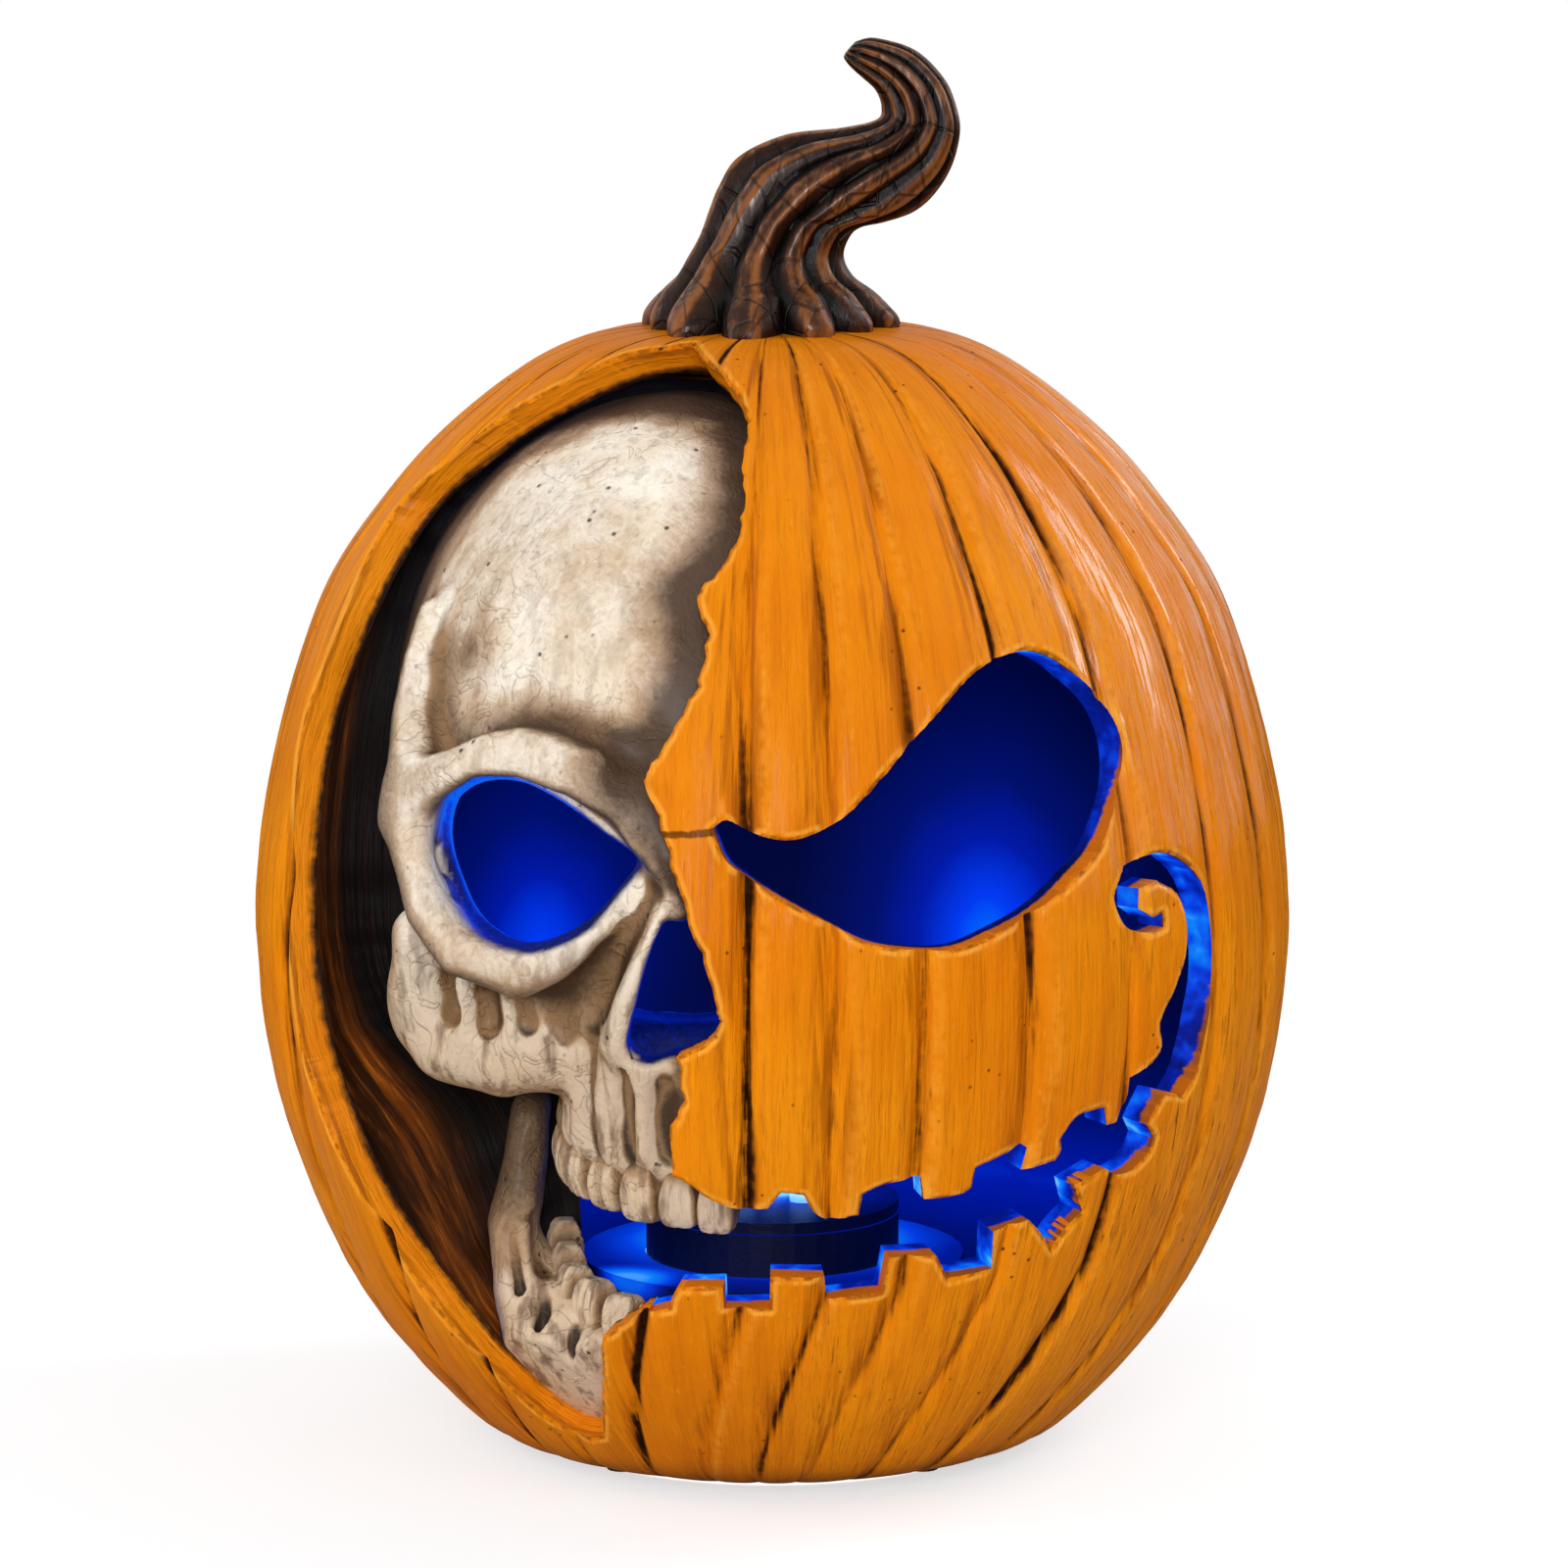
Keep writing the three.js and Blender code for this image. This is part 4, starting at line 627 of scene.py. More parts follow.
def orange_paint():
    """Satin orange over a carved casting, with dark brown brushed into the grooves and dragged down the ribs,
    painted highlights on the groove lips and beside the openings' edges, and painted shade at the foot.
    """
    paint = Paint("orange_paint")
    place = paint.place()
    x, y, z, base, fine, broad, chips = brushed_orange(paint, place)
    groove = paint.attribute("groove")
    valley = paint.attribute("valley")
    lip = paint.attribute("lip")
    # darker brown over the wide valley band on one side of each groove
    valley_dark = (valley * (0.15 + 1.3 * broad.over(0.35, 0.7)) + (fine - 0.5) * 0.5).over(0.3, 1.2)
    base = paint.mix(valley_dark * 0.5, base, srgb(136, 62, 3))
    # painted highlight: the raised lip beside each groove is painted light orange
    base = paint.mix(paint.attribute("ridge") * 0.45 * chips.over(0.3, 0.6), base, srgb(255, 168, 52))
    grime = (groove * (0.5 + 0.7 * broad.over(0.35, 0.65))).over(0.24, 0.85)
    base = paint.mix(grime * (0.6 + 0.4 * chips.over(0.35, 0.6)), base, srgb(76, 33, 3))
    deep = (groove * broad.over(0.34, 0.56)).over(0.5, 0.9)
    base = paint.mix(deep * 0.9, base, srgb(24, 10, 3))
    # a light band just in from the opening edges: partly rubbed paint, partly a painted highlight on the rounded
    # edge
    worn_and_highlit = lip.over(0.0005, 0.0009) * (1 - lip.over(0.0012, 0.0021)) * broad.over(0.36, 0.56)
    base = paint.mix(worn_and_highlit * 0.6, base, srgb(255, 176, 62))
    rim = (1 - lip.over(0.0003, 0.001)) * chips.over(0.4, 0.62)
    base = paint.mix(rim * 0.6, base, srgb(96, 42, 4))
    light = (1 - fine.over(0.3, 0.42)) * chips.over(0.5, 0.62) * (1 - grime)
    base = paint.mix(light * 0.3, base, srgb(255, 178, 66))
    # painted shade: the foot darkens to brown towards the floor
    foot = 1 - z.over(0.001, 0.012)
    base = paint.mix(foot * 0.5, base, srgb(70, 32, 6))
    crack = (z - 0.1595 - (x + 0.013) * 0.08 + (chips - 0.5) * 0.0012).maths("ABSOLUTE")
    crack = (1 - crack.over(0.0003, 0.0009)) * x.over(-0.031, -0.029) * (1 - x.over(-0.013, -0.012))
    crack = crack * (1 - y.over(-0.01, 0.0))
    base = paint.mix(crack * 0.8, base, srgb(70, 30, 3))
    specks = paint.node("ShaderNodeTexVoronoi", {}, {"Vector": place, "Scale": 230.0, "Randomness": 1.0})[0]
    dots = (1 - specks.over(0.035, 0.13)) * paint.noise(place, 60, 2).over(0.54, 0.6)
    base = paint.mix(dots * 0.85, base, srgb(54, 22, 3))
    height = (0.55 * fine + broad * 1.1 + chips * 0.25) - groove * 0.3 - dots * 0.6 - crack
    shine = x.over(0.02, 0.08) * z.over(0.1, 0.17)
    gloss = (fine.over(0.4, 0.62) * (0.24 + 0.75 * shine) + 0.02) * (1 - grime) * (0.3 + 0.7 * shine)
    paint.set(Base_Color=base, Roughness=(0.42 + 0.2 * fine + 0.2 * grime).clip(), Specular_IOR_Level=0.04,
              Coat_Weight=gloss.clip(), Coat_Roughness=0.16, Normal=paint.bump(height, 0.0013, 0.7))
    return paint.material


# Painted light: the lamp's blue on the wall inside, from where it falls to where it fades, and on other faces by
# its strength
pool_steps = [(0.0, srgb(0, 112, 255)), (0.16, srgb(0, 58, 244)), (0.36, srgb(0, 24, 165)),
              (0.56, srgb(0, 14, 108)), (0.8, srgb(0, 9, 78)), (1.0, srgb(0, 4, 55))]
lamp_steps = [(0.0, srgb(0, 3, 34)), (0.12, srgb(0, 9, 74)), (0.3, srgb(0, 24, 150)), (0.5, srgb(2, 62, 226)),
              (0.75, srgb(10, 128, 250)), (1.0, srgb(120, 200, 255))]
lamp_spot = (0.0, 0.012, 0.058)


def lamp_colour(paint, level, steps=lamp_steps):
    return paint.node("ShaderNodeValToRGB", {"stops": steps}, [level])[0]


def distance_from(spot, x, y, z):
    return ((x - spot[0]) ** 2 + (y - spot[1]) ** 2 + (z - spot[2]) ** 2).maths("SQRT")


def lamp_slant(paint, place):
    """How squarely a face looks at the lamp, from -1 to 1, and how far from it the face is, in metres."""
    normal = paint.node("ShaderNodeNewGeometry")[1]
    way = paint.node("ShaderNodeVectorMath", {"operation": "SUBTRACT"}, [lamp_spot, place])[0]
    away = paint.node("ShaderNodeVectorMath", {"operation": "LENGTH"}, [way])[0]
    return paint.node("ShaderNodeVectorMath", {"operation": "DOT_PRODUCT"}, [way, normal])[0] / away, away


def lamp_on(paint, place, reach):
    """The lamp's strength on a plain face: 1 for one that looks at it from the reach."""
    slant, away = lamp_slant(paint, place)
    return (slant * 0.85 + 0.15).most(0.0) * (away / reach) ** -1.5


def lip_level(slant, away):
    """The lamp's strength on the rim of an opening, which gets light from all round the inside."""
    return (slant * 0.5 + 0.5).most(0.1) * (away / 0.15) ** -1.5


def lit_inside():
    """Bare resin inside, with the pools of blue light that three lamps throw to each side at the back painted on as
    a glow, over a dark navy base that is painted blue shade.
    """
    paint = Paint("lit_inside")
    place = paint.place()
    x, y, z = paint.xyz(place)
    cloud = paint.noise(place, 30, 3, 0.6)
    side = (x + 0.002).maths("ABSOLUTE") * 1.4  # folds left onto right, so that one spot makes two pools
    pool = distance_from((0.077, 0.097, 0.098), side, y, z) + 0.008 * (1 - x.over(-0.03, 0.0))
    floor_band = (z - 0.046).maths("ABSOLUTE") * 1.1 + 0.023
    grain = paint.noise(place, 320, 3, 0.6)
    pool_reach = 0.07
    glow = lamp_colour(paint, (pool.least(floor_band) + (cloud - 0.5) * 0.01) / pool_reach, pool_steps)
    paint.set(Base_Color=paint.mix(grain, srgb(2, 4, 22), srgb(3, 7, 34)), Roughness=0.6, Specular_IOR_Level=0.05,
              Emission_Color=glow, Emission_Strength=1.0, Normal=paint.bump(grain, 0.0006, 0.4))
    return paint.material


def lit_lip():
    """The moulded walls of the eye and the grin: orange at the very edge, then the lamp's blue, painted on as a
    glow over a dark navy base.
    The orange is painted lighter and reaches deeper where the wall turns away from the lamp, and darker brown where
    it faces it.
    """
    paint = Paint("lit_lip")
    place = paint.place()
    depth = paint.attribute("depth")
    brush = paint.noise(place, 240, 4, 0.65, 0.5)
    cloud = paint.noise(place, 60, 3, 0.6)
    slant, away = lamp_slant(paint, place)
    turned_away = 1 - (slant - 0.46 * (1 - paint.xyz(place)[0].over(0.015, 0.05))).over(-0.42, -0.02)
    edge = (depth + (brush - 0.5) * 0.0016 - 0.0038 * turned_away).over(0.0003, 0.0014)
    level = lip_level(slant, away) * (0.4 + 0.9 * cloud.over(0.35, 0.7)) + (brush - 0.5) * 0.4
    glow = paint.mix(edge, (0.0, 0.0, 0.0), lamp_colour(paint, level.clip()))
    base = paint.mix(edge, paint.mix(turned_away, srgb(96, 44, 10), srgb(214, 110, 8)), srgb(3, 7, 34))
    paint.set(Base_Color=base, Roughness=0.45, Specular_IOR_Level=0.15, Emission_Color=glow, Emission_Strength=1.0,
              Normal=paint.bump(brush, 0.0008, 0.5))
    return paint.material


def broken_wall():
    """The broken side's own wall: painted orange like the skin, with dark brown painted along its inner edge as
    shade where the wall turns into the niche.
    """
    paint = Paint("broken_wall")
    place = paint.place()
    depth = paint.attribute("depth")
    across, _, up = paint.xyz(place)
    along = paint.vector(depth * 1.1, up * 0.12, across * 0.12)
    base, fine, broad, chips = brushed_orange(paint, place, along)[3:]
    # painted shade: dark brown towards the wall's inner edge, where it turns into the niche
    edge = (depth + (broad - 0.5) * 0.003 + (chips - 0.5) * 0.002).over(0.0052, 0.0078)
    base = paint.mix(edge, base, srgb(34, 15, 5))
    crease = 1 - (depth - 0.0012).maths("ABSOLUTE").over(0.0002, 0.0012)
    base = paint.mix(crease * broad.over(0.4, 0.6) * 0.5, base, srgb(110, 52, 8))
    paint.set(Base_Color=base, Roughness=(0.4 + 0.2 * fine).clip(), Specular_IOR_Level=0.08, Coat_Weight=0.08,
              Coat_Roughness=0.2, Normal=paint.bump(0.6 * fine + broad * 1.2, 0.0013, 0.7))
    return paint.material


for index, finish in enumerate((orange_paint(), lit_inside(), lit_lip(), broken_wall())):
    pumpkin.data.materials[index] = finish


# ---------------------------------------------------------------- half skull
# A cast resin half mask in bone paint with a brown wash and painted shade, glued behind the broken side.
# Its masses and bars are blended as one field that is then skinned, because rolled
# rims and hollows can't be pulled out of a primitive.
mask_wall, stands_out = 0.005, 0.006  # its thickness, and how far it may pass into the broken side


def share_points(rows):
    return np.asarray(rows, float) * (R, R, H) + (0, 0, pad)


masses = [  # middle and half sizes, as shares of the body's radius and height
    (-0.169, -0.153, 0.661, 0.551, 0.636, 0.288), (-0.508, -0.237, 0.545, 0.203, 0.322, 0.148),
    (-0.339, -0.466, 0.525, 0.288, 0.305, 0.148), (-0.203, -0.542, 0.381, 0.195, 0.25, 0.093),
    (-0.186, -0.712, 0.545, 0.085, 0.119, 0.101)]
bars = {  # lines of points, with the radius in metres at each
    "brow": ([(-0.69, -0.55, 0.6), (-0.66, -0.61, 0.63), (-0.576, -0.715, 0.668), (-0.466, -0.77, 0.677),
              (-0.356, -0.81, 0.664), (-0.254, -0.832, 0.634), (-0.203, -0.831, 0.591)],
             [.005, .0062, .0066, .0066, .0066, .006, .005]),
    "rim": ([(-0.22, -0.822, 0.568), (-0.263, -0.814, 0.541), (-0.356, -0.788, 0.503), (-0.466, -0.754, 0.484),
             (-0.576, -0.712, 0.5), (-0.64, -0.655, 0.53), (-0.67, -0.615, 0.576), (-0.675, -0.58, 0.615)],
            [.0045, .005, .0058, .006, .0056, .0052, .005, .005]),
    "temple": ([(-0.672, -0.57, 0.64), (-0.672, -0.5, 0.685), (-0.66, -0.45, 0.73), (-0.642, -0.42, 0.77)],
               [.0058, .0046, .0035, .002]),
    "nose_side": ([(-0.203, -0.831, 0.584), (-0.229, -0.822, 0.521), (-0.268, -0.797, 0.465),
                   (-0.282, -0.775, 0.428), (-0.237, -0.766, 0.402), (-0.119, -0.775, 0.406)],
                  [.0045, .0045, .0045, .0045, .0045, .0045]),
    "cheek": ([(-0.64, -0.46, 0.425), (-0.6, -0.52, 0.402), (-0.5, -0.585, 0.396), (-0.43, -0.61, 0.404)],
              [.0085, .0092, .0092, .0085]),
    "cheek_side": ([(-0.66, -0.56, 0.5), (-0.66, -0.52, 0.45), (-0.64, -0.47, 0.42)], [.006, .006, .007]),
    "arch": ([(-0.65, -0.492, 0.452), (-0.66, -0.322, 0.435), (-0.67, -0.153, 0.42)], [.0065, .006, .006]),
    "gum": ([(-0.365, -0.475, 0.33), (-0.342, -0.6, 0.326), (-0.277, -0.69, 0.322), (-0.186, -0.746, 0.318),
             (-0.085, -0.771, 0.316), (0.017, -0.78, 0.316)], [.005] * 6),
}
orbit_line = [
    (-0.636, 0.584), (-0.619, 0.623), (-0.576, 0.642), (-0.517, 0.65), (-0.449, 0.646), (-0.373, 0.63),
    (-0.305, 0.607), (-0.237, 0.584), (-0.271, 0.556), (-0.331, 0.525), (-0.415, 0.506), (-0.483, 0.502),
    (-0.559, 0.514), (-0.61, 0.545)]
nose_line = [
    (-0.169, 0.533), (-0.2, 0.533), (-0.231, 0.499), (-0.25, 0.466), (-0.264, 0.441), (-0.268, 0.424),
    (-0.25, 0.412), (-0.22, 0.409), (-0.178, 0.416), (-0.06, 0.422), (-0.06, 0.533)]
bone_trim = [
    (0.034, 0.98), (0.034, 0.837), (0.017, 0.778), (-0.068, 0.72), (-0.127, 0.654), (-0.11, 0.599),
    (-0.102, 0.553), (-0.034, 0.506), (-0.025, 0.459), (-0.068, 0.42), (-0.051, 0.381), (0.034, 0.342),
    (0.034, 0.2), (0.9, 0.2), (0.9, 0.98)]
# Roots stand out, gouges and hollows are cut in: each is a line on the bone and a radius
roots = [([(-0.345, -0.64, 0.4), (-0.352, -0.63, 0.36), (-0.352, -0.615, 0.335)], .0034),
         ([(-0.29, -0.71, 0.405), (-0.3, -0.7, 0.37), (-0.3, -0.69, 0.335)], .0034),
         ([(-0.232, -0.755, 0.39), (-0.238, -0.755, 0.36), (-0.238, -0.75, 0.335)], .0036),
         ([(-0.16, -0.78, 0.395), (-0.164, -0.785, 0.36), (-0.164, -0.785, 0.335)], .0036),
         ([(-0.63, -0.55, 0.47), (-0.625, -0.55, 0.43)], .0035),
         ([(-0.565, -0.63, 0.462), (-0.56, -0.61, 0.42)], .0032),
         ([(-0.5, -0.66, 0.458), (-0.49, -0.645, 0.42)], .0032),
         ([(-0.435, -0.69, 0.456), (-0.425, -0.66, 0.42)], .0032)]
gouges = [([(-0.598, -0.6, 0.458), (-0.595, -0.6, 0.44)], .0028),
          ([(-0.533, -0.665, 0.452), (-0.528, -0.66, 0.432)], .0034),
          ([(-0.467, -0.7, 0.452), (-0.46, -0.695, 0.434)], .0034),
          ([(-0.4, -0.72, 0.45), (-0.395, -0.715, 0.43)], .0028),
          ([(-0.325, -0.71, 0.42), (-0.33, -0.68, 0.31)], .0015),
          ([(-0.265, -0.775, 0.41), (-0.268, -0.745, 0.305)], .0015),
          ([(-0.198, -0.81, 0.39), (-0.2, -0.79, 0.3)], .0015),
          ([(-0.37, -0.64, 0.4), (-0.372, -0.6, 0.32)], .0014)]
hollows = [([(-0.606, -0.64, 0.7), (-0.612, -0.57, 0.748)], .0046),
           ([(-0.56, -0.69, 0.724), (-0.463, -0.755, 0.73), (-0.374, -0.8, 0.716), (-0.302, -0.83, 0.7),
             (-0.24, -0.85, 0.678)], .0036),
           ([(-0.235, -0.84, 0.56), (-0.29, -0.82, 0.51), (-0.35, -0.77, 0.462), (-0.4, -0.72, 0.44)], .003)]


def blend(a, b, soft):
    """Two fields joined, with a fillet about as wide as soft."""
    h = np.maximum(soft - np.abs(a - b), 0) / soft
    return np.minimum(a, b) - h * h * soft / 4


def carve(a, cut, soft):
    return -blend(-a, cut, soft)


def mass_field(p, x, y, z, rx, ry, rz):
    """Distance to an ellipsoid, less than zero inside it."""
    half = np.array([rx, ry, rz]) * (R, R, H)
    unit = (p - share_points((x, y, z))) / half
    k = np.linalg.norm(unit, axis=-1)
    return k * (k - 1) / np.maximum(np.linalg.norm(unit / half, axis=-1), 1e-6)


def bar_field(p, line, radii):
    """Distance to a round bar along a line, less than zero inside it."""
    line = share_points(line)
    radii = np.full(len(line), radii) if np.isscalar(radii) else radii
    least = None
    for a, b, ra, rb in zip(line, line[1:], radii, radii[1:]):
        along = b - a
        t = np.clip((p - a) @ along / (along @ along), 0, 1)
        d = np.linalg.norm(p - a - t[..., None] * along, axis=-1) - (ra + (rb - ra) * t)
        least = d if least is None else np.minimum(least, d)
    return least


def outline_field(p, outline):
    """Distance in the front view to a closed outline, less than zero inside it."""
    q = np.stack([p[..., 0], p[..., 2] - pad], -1)
    line = np.asarray(outline) * (R, H)
    least = np.full(q.shape[:-1], 1.0)
    inside = np.zeros(q.shape[:-1], bool)
    for a, b in zip(line, np.roll(line, -1, 0)):
        along = b - a
        t = np.clip((q - a) @ along / (along @ along), 0, 1)
        least = np.minimum(least, np.linalg.norm(q - a - t[..., None] * along, axis=-1))
        crosses = (a[1] > q[..., 1]) != (b[1] > q[..., 1])
        at = a[0] + (q[..., 1] - a[1]) / (along[1] if along[1] else 1e-9) * along[0]
        inside ^= crosses & (q[..., 0] < at)
    return np.where(inside, -least, least)


def waves(p, scale, seed):
    """A slow hand-made unevenness, between -1 and 1."""
    turns = np.random.default_rng(seed).normal(0, 1, (5, 3)) * scale
    shifts = np.random.default_rng(seed + 1).uniform(0, 2 * np.pi, 5)
    return sum(np.sin(p @ k + s) for k, s in zip(turns, shifts)) / 5


def with_lines(f, p, *groups):
    """A field with groups of bars joined to it or cut out of it."""
    for how, lines, soft in groups:
        for line, radius in lines:
            f = how(f, bar_field(p, line, radius), soft)
    return f


def bone_skin(p):
    f = mass_field(p, *masses[0])
    for mass in masses[1:]:
        f = blend(f, mass_field(p, *mass), 0.011)
    for line, radii in bars.values():
        f = blend(f, bar_field(p, line, radii), 0.007)
    f = with_lines(f, p, (blend, roots, 0.004), (carve, hollows, 0.01), (carve, gouges, 0.004))
    return f + 0.0004 * waves(p, 90, 3) + 0.00018 * waves(p, 420, 5)


def inner_space(p, gap):
    """Distance to the space inside the casting less a gap all round, less than zero in it."""
    return np.hypot(p[..., 0], p[..., 1]) - (surface_radius(p[..., 2] - pad) - wall - gap)


broken_side = niche_right + niche_left[::-1]


def skull_skin(p):
    """The bone's skin, kept off the casting's inside, but free to stand out in the middle of the broken side."""
    share = np.clip((-outline_field(p, broken_side) - 0.004) / 0.012, 0, 1)
    room = inner_space(p, glue_gap) - stands_out * share * share * (3 - 2 * share)
    return -blend(-bone_skin(p), -room, 0.005)


def mask_field(p):
    """The skull's skin as a wall, with its eye and nose cut out, trimmed at its middle and at its back."""
    skin = skull_skin(p)
    f = np.maximum(skin, -(skin + mask_wall))
    taper = np.clip(-p[..., 1] / R, 0, 1)
    orbit = outline_field(p, smooth_line(orbit_line, 3, closed=True)) + 0.0035 * (0.72 - taper) + 0.0014
    orbit = orbit + 0.8 * np.clip(-skin, 0, mask_wall) * np.clip((-p[..., 0] / R - 0.45) / 0.12, 0, 1)
    nose = outline_field(p, smooth_line(nose_line, 2, closed=True)) + 0.002 * (0.72 - taper) + 0.0006
    f = carve(f, orbit, 0.0035)
    f = carve(f, nose, 0.0025)
    f = np.maximum(f, -outline_field(p, bone_trim))
    return np.maximum(f, p[..., 1] + 0.13 * R)


def skinned(name, field, low, high, step):
    """A mesh over a field's zero surface: one point in each cell that the surface crosses, joined across the
    cells' edges and then moved onto the surface."""
    axes = [np.arange(a, b + step, step) for a, b in zip(low, high)]
    grid = np.stack(np.meshgrid(*axes, indexing="ij"), -1)
    value = np.concatenate([field(part) for part in np.array_split(grid, 12)])
    low_side = value < 0
    corners = [(i, j, k) for i in (0, 1) for j in (0, 1) for k in (0, 1)]
    shape = np.array(value.shape) - 1

    def corner(array, c):
        return array[c[0]:c[0] + shape[0], c[1]:c[1] + shape[1], c[2]:c[2] + shape[2]]

    hits = sum(corner(low_side, c).astype(int) for c in corners)
    active = (hits > 0) & (hits < 8)
    total, count = np.zeros((*shape, 3)), np.zeros(shape)
    for a in corners:
        for axis in range(3):
            if a[axis]:
                continue
            b = tuple(v + (i == axis) for i, v in enumerate(a))
            va, vb = corner(value, a), corner(value, b)
            crossed = ((va < 0) != (vb < 0)) & active
            t = np.where(crossed, va / np.where(crossed, va - vb, 1), 0)
            at = corner(grid, a).copy()
            at[..., axis] += t * step
            total += at * crossed[..., None]
            count += crossed
    number = np.full(shape, -1)
    number[active] = np.arange(active.sum())
    points = total[active] / count[active][:, None]
    faces = []
    for axis in range(3):
        one, two = (axis + 1) % 3, (axis + 2) % 3
        first = [slice(1, -1)] * 3
        first[axis] = slice(0, -1)
        second = list(first)
        second[axis] = slice(1, None)
        here, there = low_side[tuple(first)], low_side[tuple(second)]
        for flip in (False, True):
            spots = np.argwhere((here & ~there) if not flip else (~here & there))
            spots = spots + [0 if i == axis else 1 for i in range(3)]
            ring = []
            for du, dv in ((-1, -1), (0, -1), (0, 0), (-1, 0)):
                cell = spots.copy()
                cell[:, one] += du
                cell[:, two] += dv
                ring.append(number[tuple(cell.T)])
            faces.append(np.stack(ring[::-1] if flip else ring, 1))
    faces = np.concatenate(faces)
    faces = faces[(faces >= 0).all(1)]
    for _ in range(2):
        ahead = field(points)
        slope = np.stack([(field(points + d) - field(points - d)) / 4e-4 for d in np.eye(3) * 2e-4], 1)
        move = (ahead / np.maximum((slope**2).sum(1), 0.2))[:, None] * slope
        points = points - np.clip(move, -step / 2, step / 2)
    mesh = bpy.data.meshes.new(name)
    mesh.from_pydata(points.tolist(), [], faces.tolist())
    made = bpy.data.objects.new(name, mesh)
    bpy.context.collection.objects.link(made)
    edit(made, (bpy.ops.mesh.remove_doubles, {"threshold": 0.00008}), outwards,
         (bpy.ops.mesh.vertices_smooth, {"factor": 0.4, "repeat": 1}))
    bpy.ops.object.shade_smooth()
    return made


def hollows_of(piece, rounds=22):
    """How far each point lies below its surroundings, in metres: more than zero in a hollow."""
    points = points_of(piece)
    a, b = values_of(piece.data.edges, "vertices", 2, int).T
    count = np.bincount(np.concatenate([a, b]), minlength=len(points))[:, None]
    smooth = points.copy()
    for _ in range(rounds):
        total = np.stack([np.bincount(np.concatenate([a, b]), np.concatenate([smooth[b, i], smooth[a, i]]),
                                      len(points)) for i in range(3)], 1)
        smooth = 0.4 * smooth + 0.6 * total / np.maximum(count, 1)
    return ((smooth - points) * normals_of(piece)).sum(1)


def bone_paint():
    """Matt bone paint, with dark brown washed over it and wiped off all but its hollows, where it also stands for
    their shade, and painted shade laid on where the shade attribute says.
    """
    paint = Paint("bone_paint")
    place = paint.place()
    hollow = paint.attribute("hollow")
    shade = paint.attribute("shade")
    cloud = paint.noise(place, 60, 4, 0.6)
    grain = paint.noise(place, 700, 4, 0.65, 0.6)
    scratch = paint.noise(place, 260, 3, 0.6, 2.5)
    specks = paint.node("ShaderNodeTexVoronoi", {}, {"Vector": place, "Scale": 230.0, "Randomness": 1.0})[0]
    pits = (1 - specks.over(0.05, 0.16)) * paint.noise(place, 90, 2).over(0.52, 0.6)
    worm = (paint.noise(place, 80, 2, 0.5, 1.8) - 0.5).maths("ABSOLUTE")
    worm = (1 - worm.over(0.004, 0.018)) * paint.noise(place, 30, 1).over(0.42, 0.54)
    lit = paint.attribute("lit")
    base = paint.mix(cloud.over(0.35, 0.7), srgb(252, 243, 228), srgb(240, 222, 196))
    base = paint.mix(scratch.over(0.58, 0.7) * 0.3, base, srgb(186, 158, 124))
    # the lower face is painted browner: partly brown wash, partly painted shade
    low = 1 - (paint.xyz(place)[2] + (cloud - 0.5) * 0.02).over(0.1, 0.15)
    base = paint.mix(low * 0.7, base, srgb(190, 156, 118))
    upright = paint.node("ShaderNodeVectorMath", {"operation": "MULTIPLY"}, [place, (1, 1, 0.2)])[0]
    crease = paint.noise(upright, 260, 3)
    base = paint.mix(crease.over(0.48, 0.66) * (0.24 + 0.5 * low), base, srgb(96, 68, 42))
    # the hollows go brown and the deepest near-black: a brown wash that also stands for their painted shade
    wash_and_shade = (hollow * 2700 + (cloud - 0.5) * 0.2 + (grain - 0.5) * 0.3 + low * 0.08).over(0.15, 0.85)
    base = paint.mix(wash_and_shade * 0.85, base, srgb(120, 90, 58))
    base = paint.mix((hollow * 3200 + (grain - 0.5) * 0.3).over(0.6, 1.5) * 0.92, base, srgb(36, 24, 15))
    # painted shade from the shade attribute, broken up by noise
    painted_shade = shade + (cloud - 0.5) * 0.3 + (grain - 0.5) * 0.24 + (scratch - 0.5) * 0.3
    base = paint.mix(painted_shade.over(0.14, 0.65) * 0.75, base, srgb(170, 130, 88))
    base = paint.mix(painted_shade.over(0.4, 1.15) * 0.92, base, srgb(54, 34, 18))
    base = paint.mix(worm * 0.16, base, srgb(140, 106, 70))
    base = paint.mix(pits * 0.9, base, srgb(44, 32, 22))
    height = cloud * 0.3 + scratch * 0.4 + grain * 0.25 - pits * 0.8 + worm * 0.4 - crease * 0.5
    nose = paint.xyz(place)[0].over(-0.045, -0.038)
    glow = lip_level(*lamp_slant(paint, place)) * (1 - 0.62 * nose) + (grain - 0.5) * 0.4
    glow = lamp_colour(paint, glow.least(0.6).clip())
    paint.set(Base_Color=paint.mix(lit, base, srgb(6, 10, 40)), Roughness=(0.5 + 0.2 * grain).clip(),
              Specular_IOR_Level=0.25, Coat_Weight=0.12, Coat_Roughness=0.26, Emission_Strength=1.0,
              Emission_Color=paint.mix(lit, (0.0, 0.0, 0.0), glow), Normal=paint.bump(height, 0.0014, 0.7))
    return paint.material


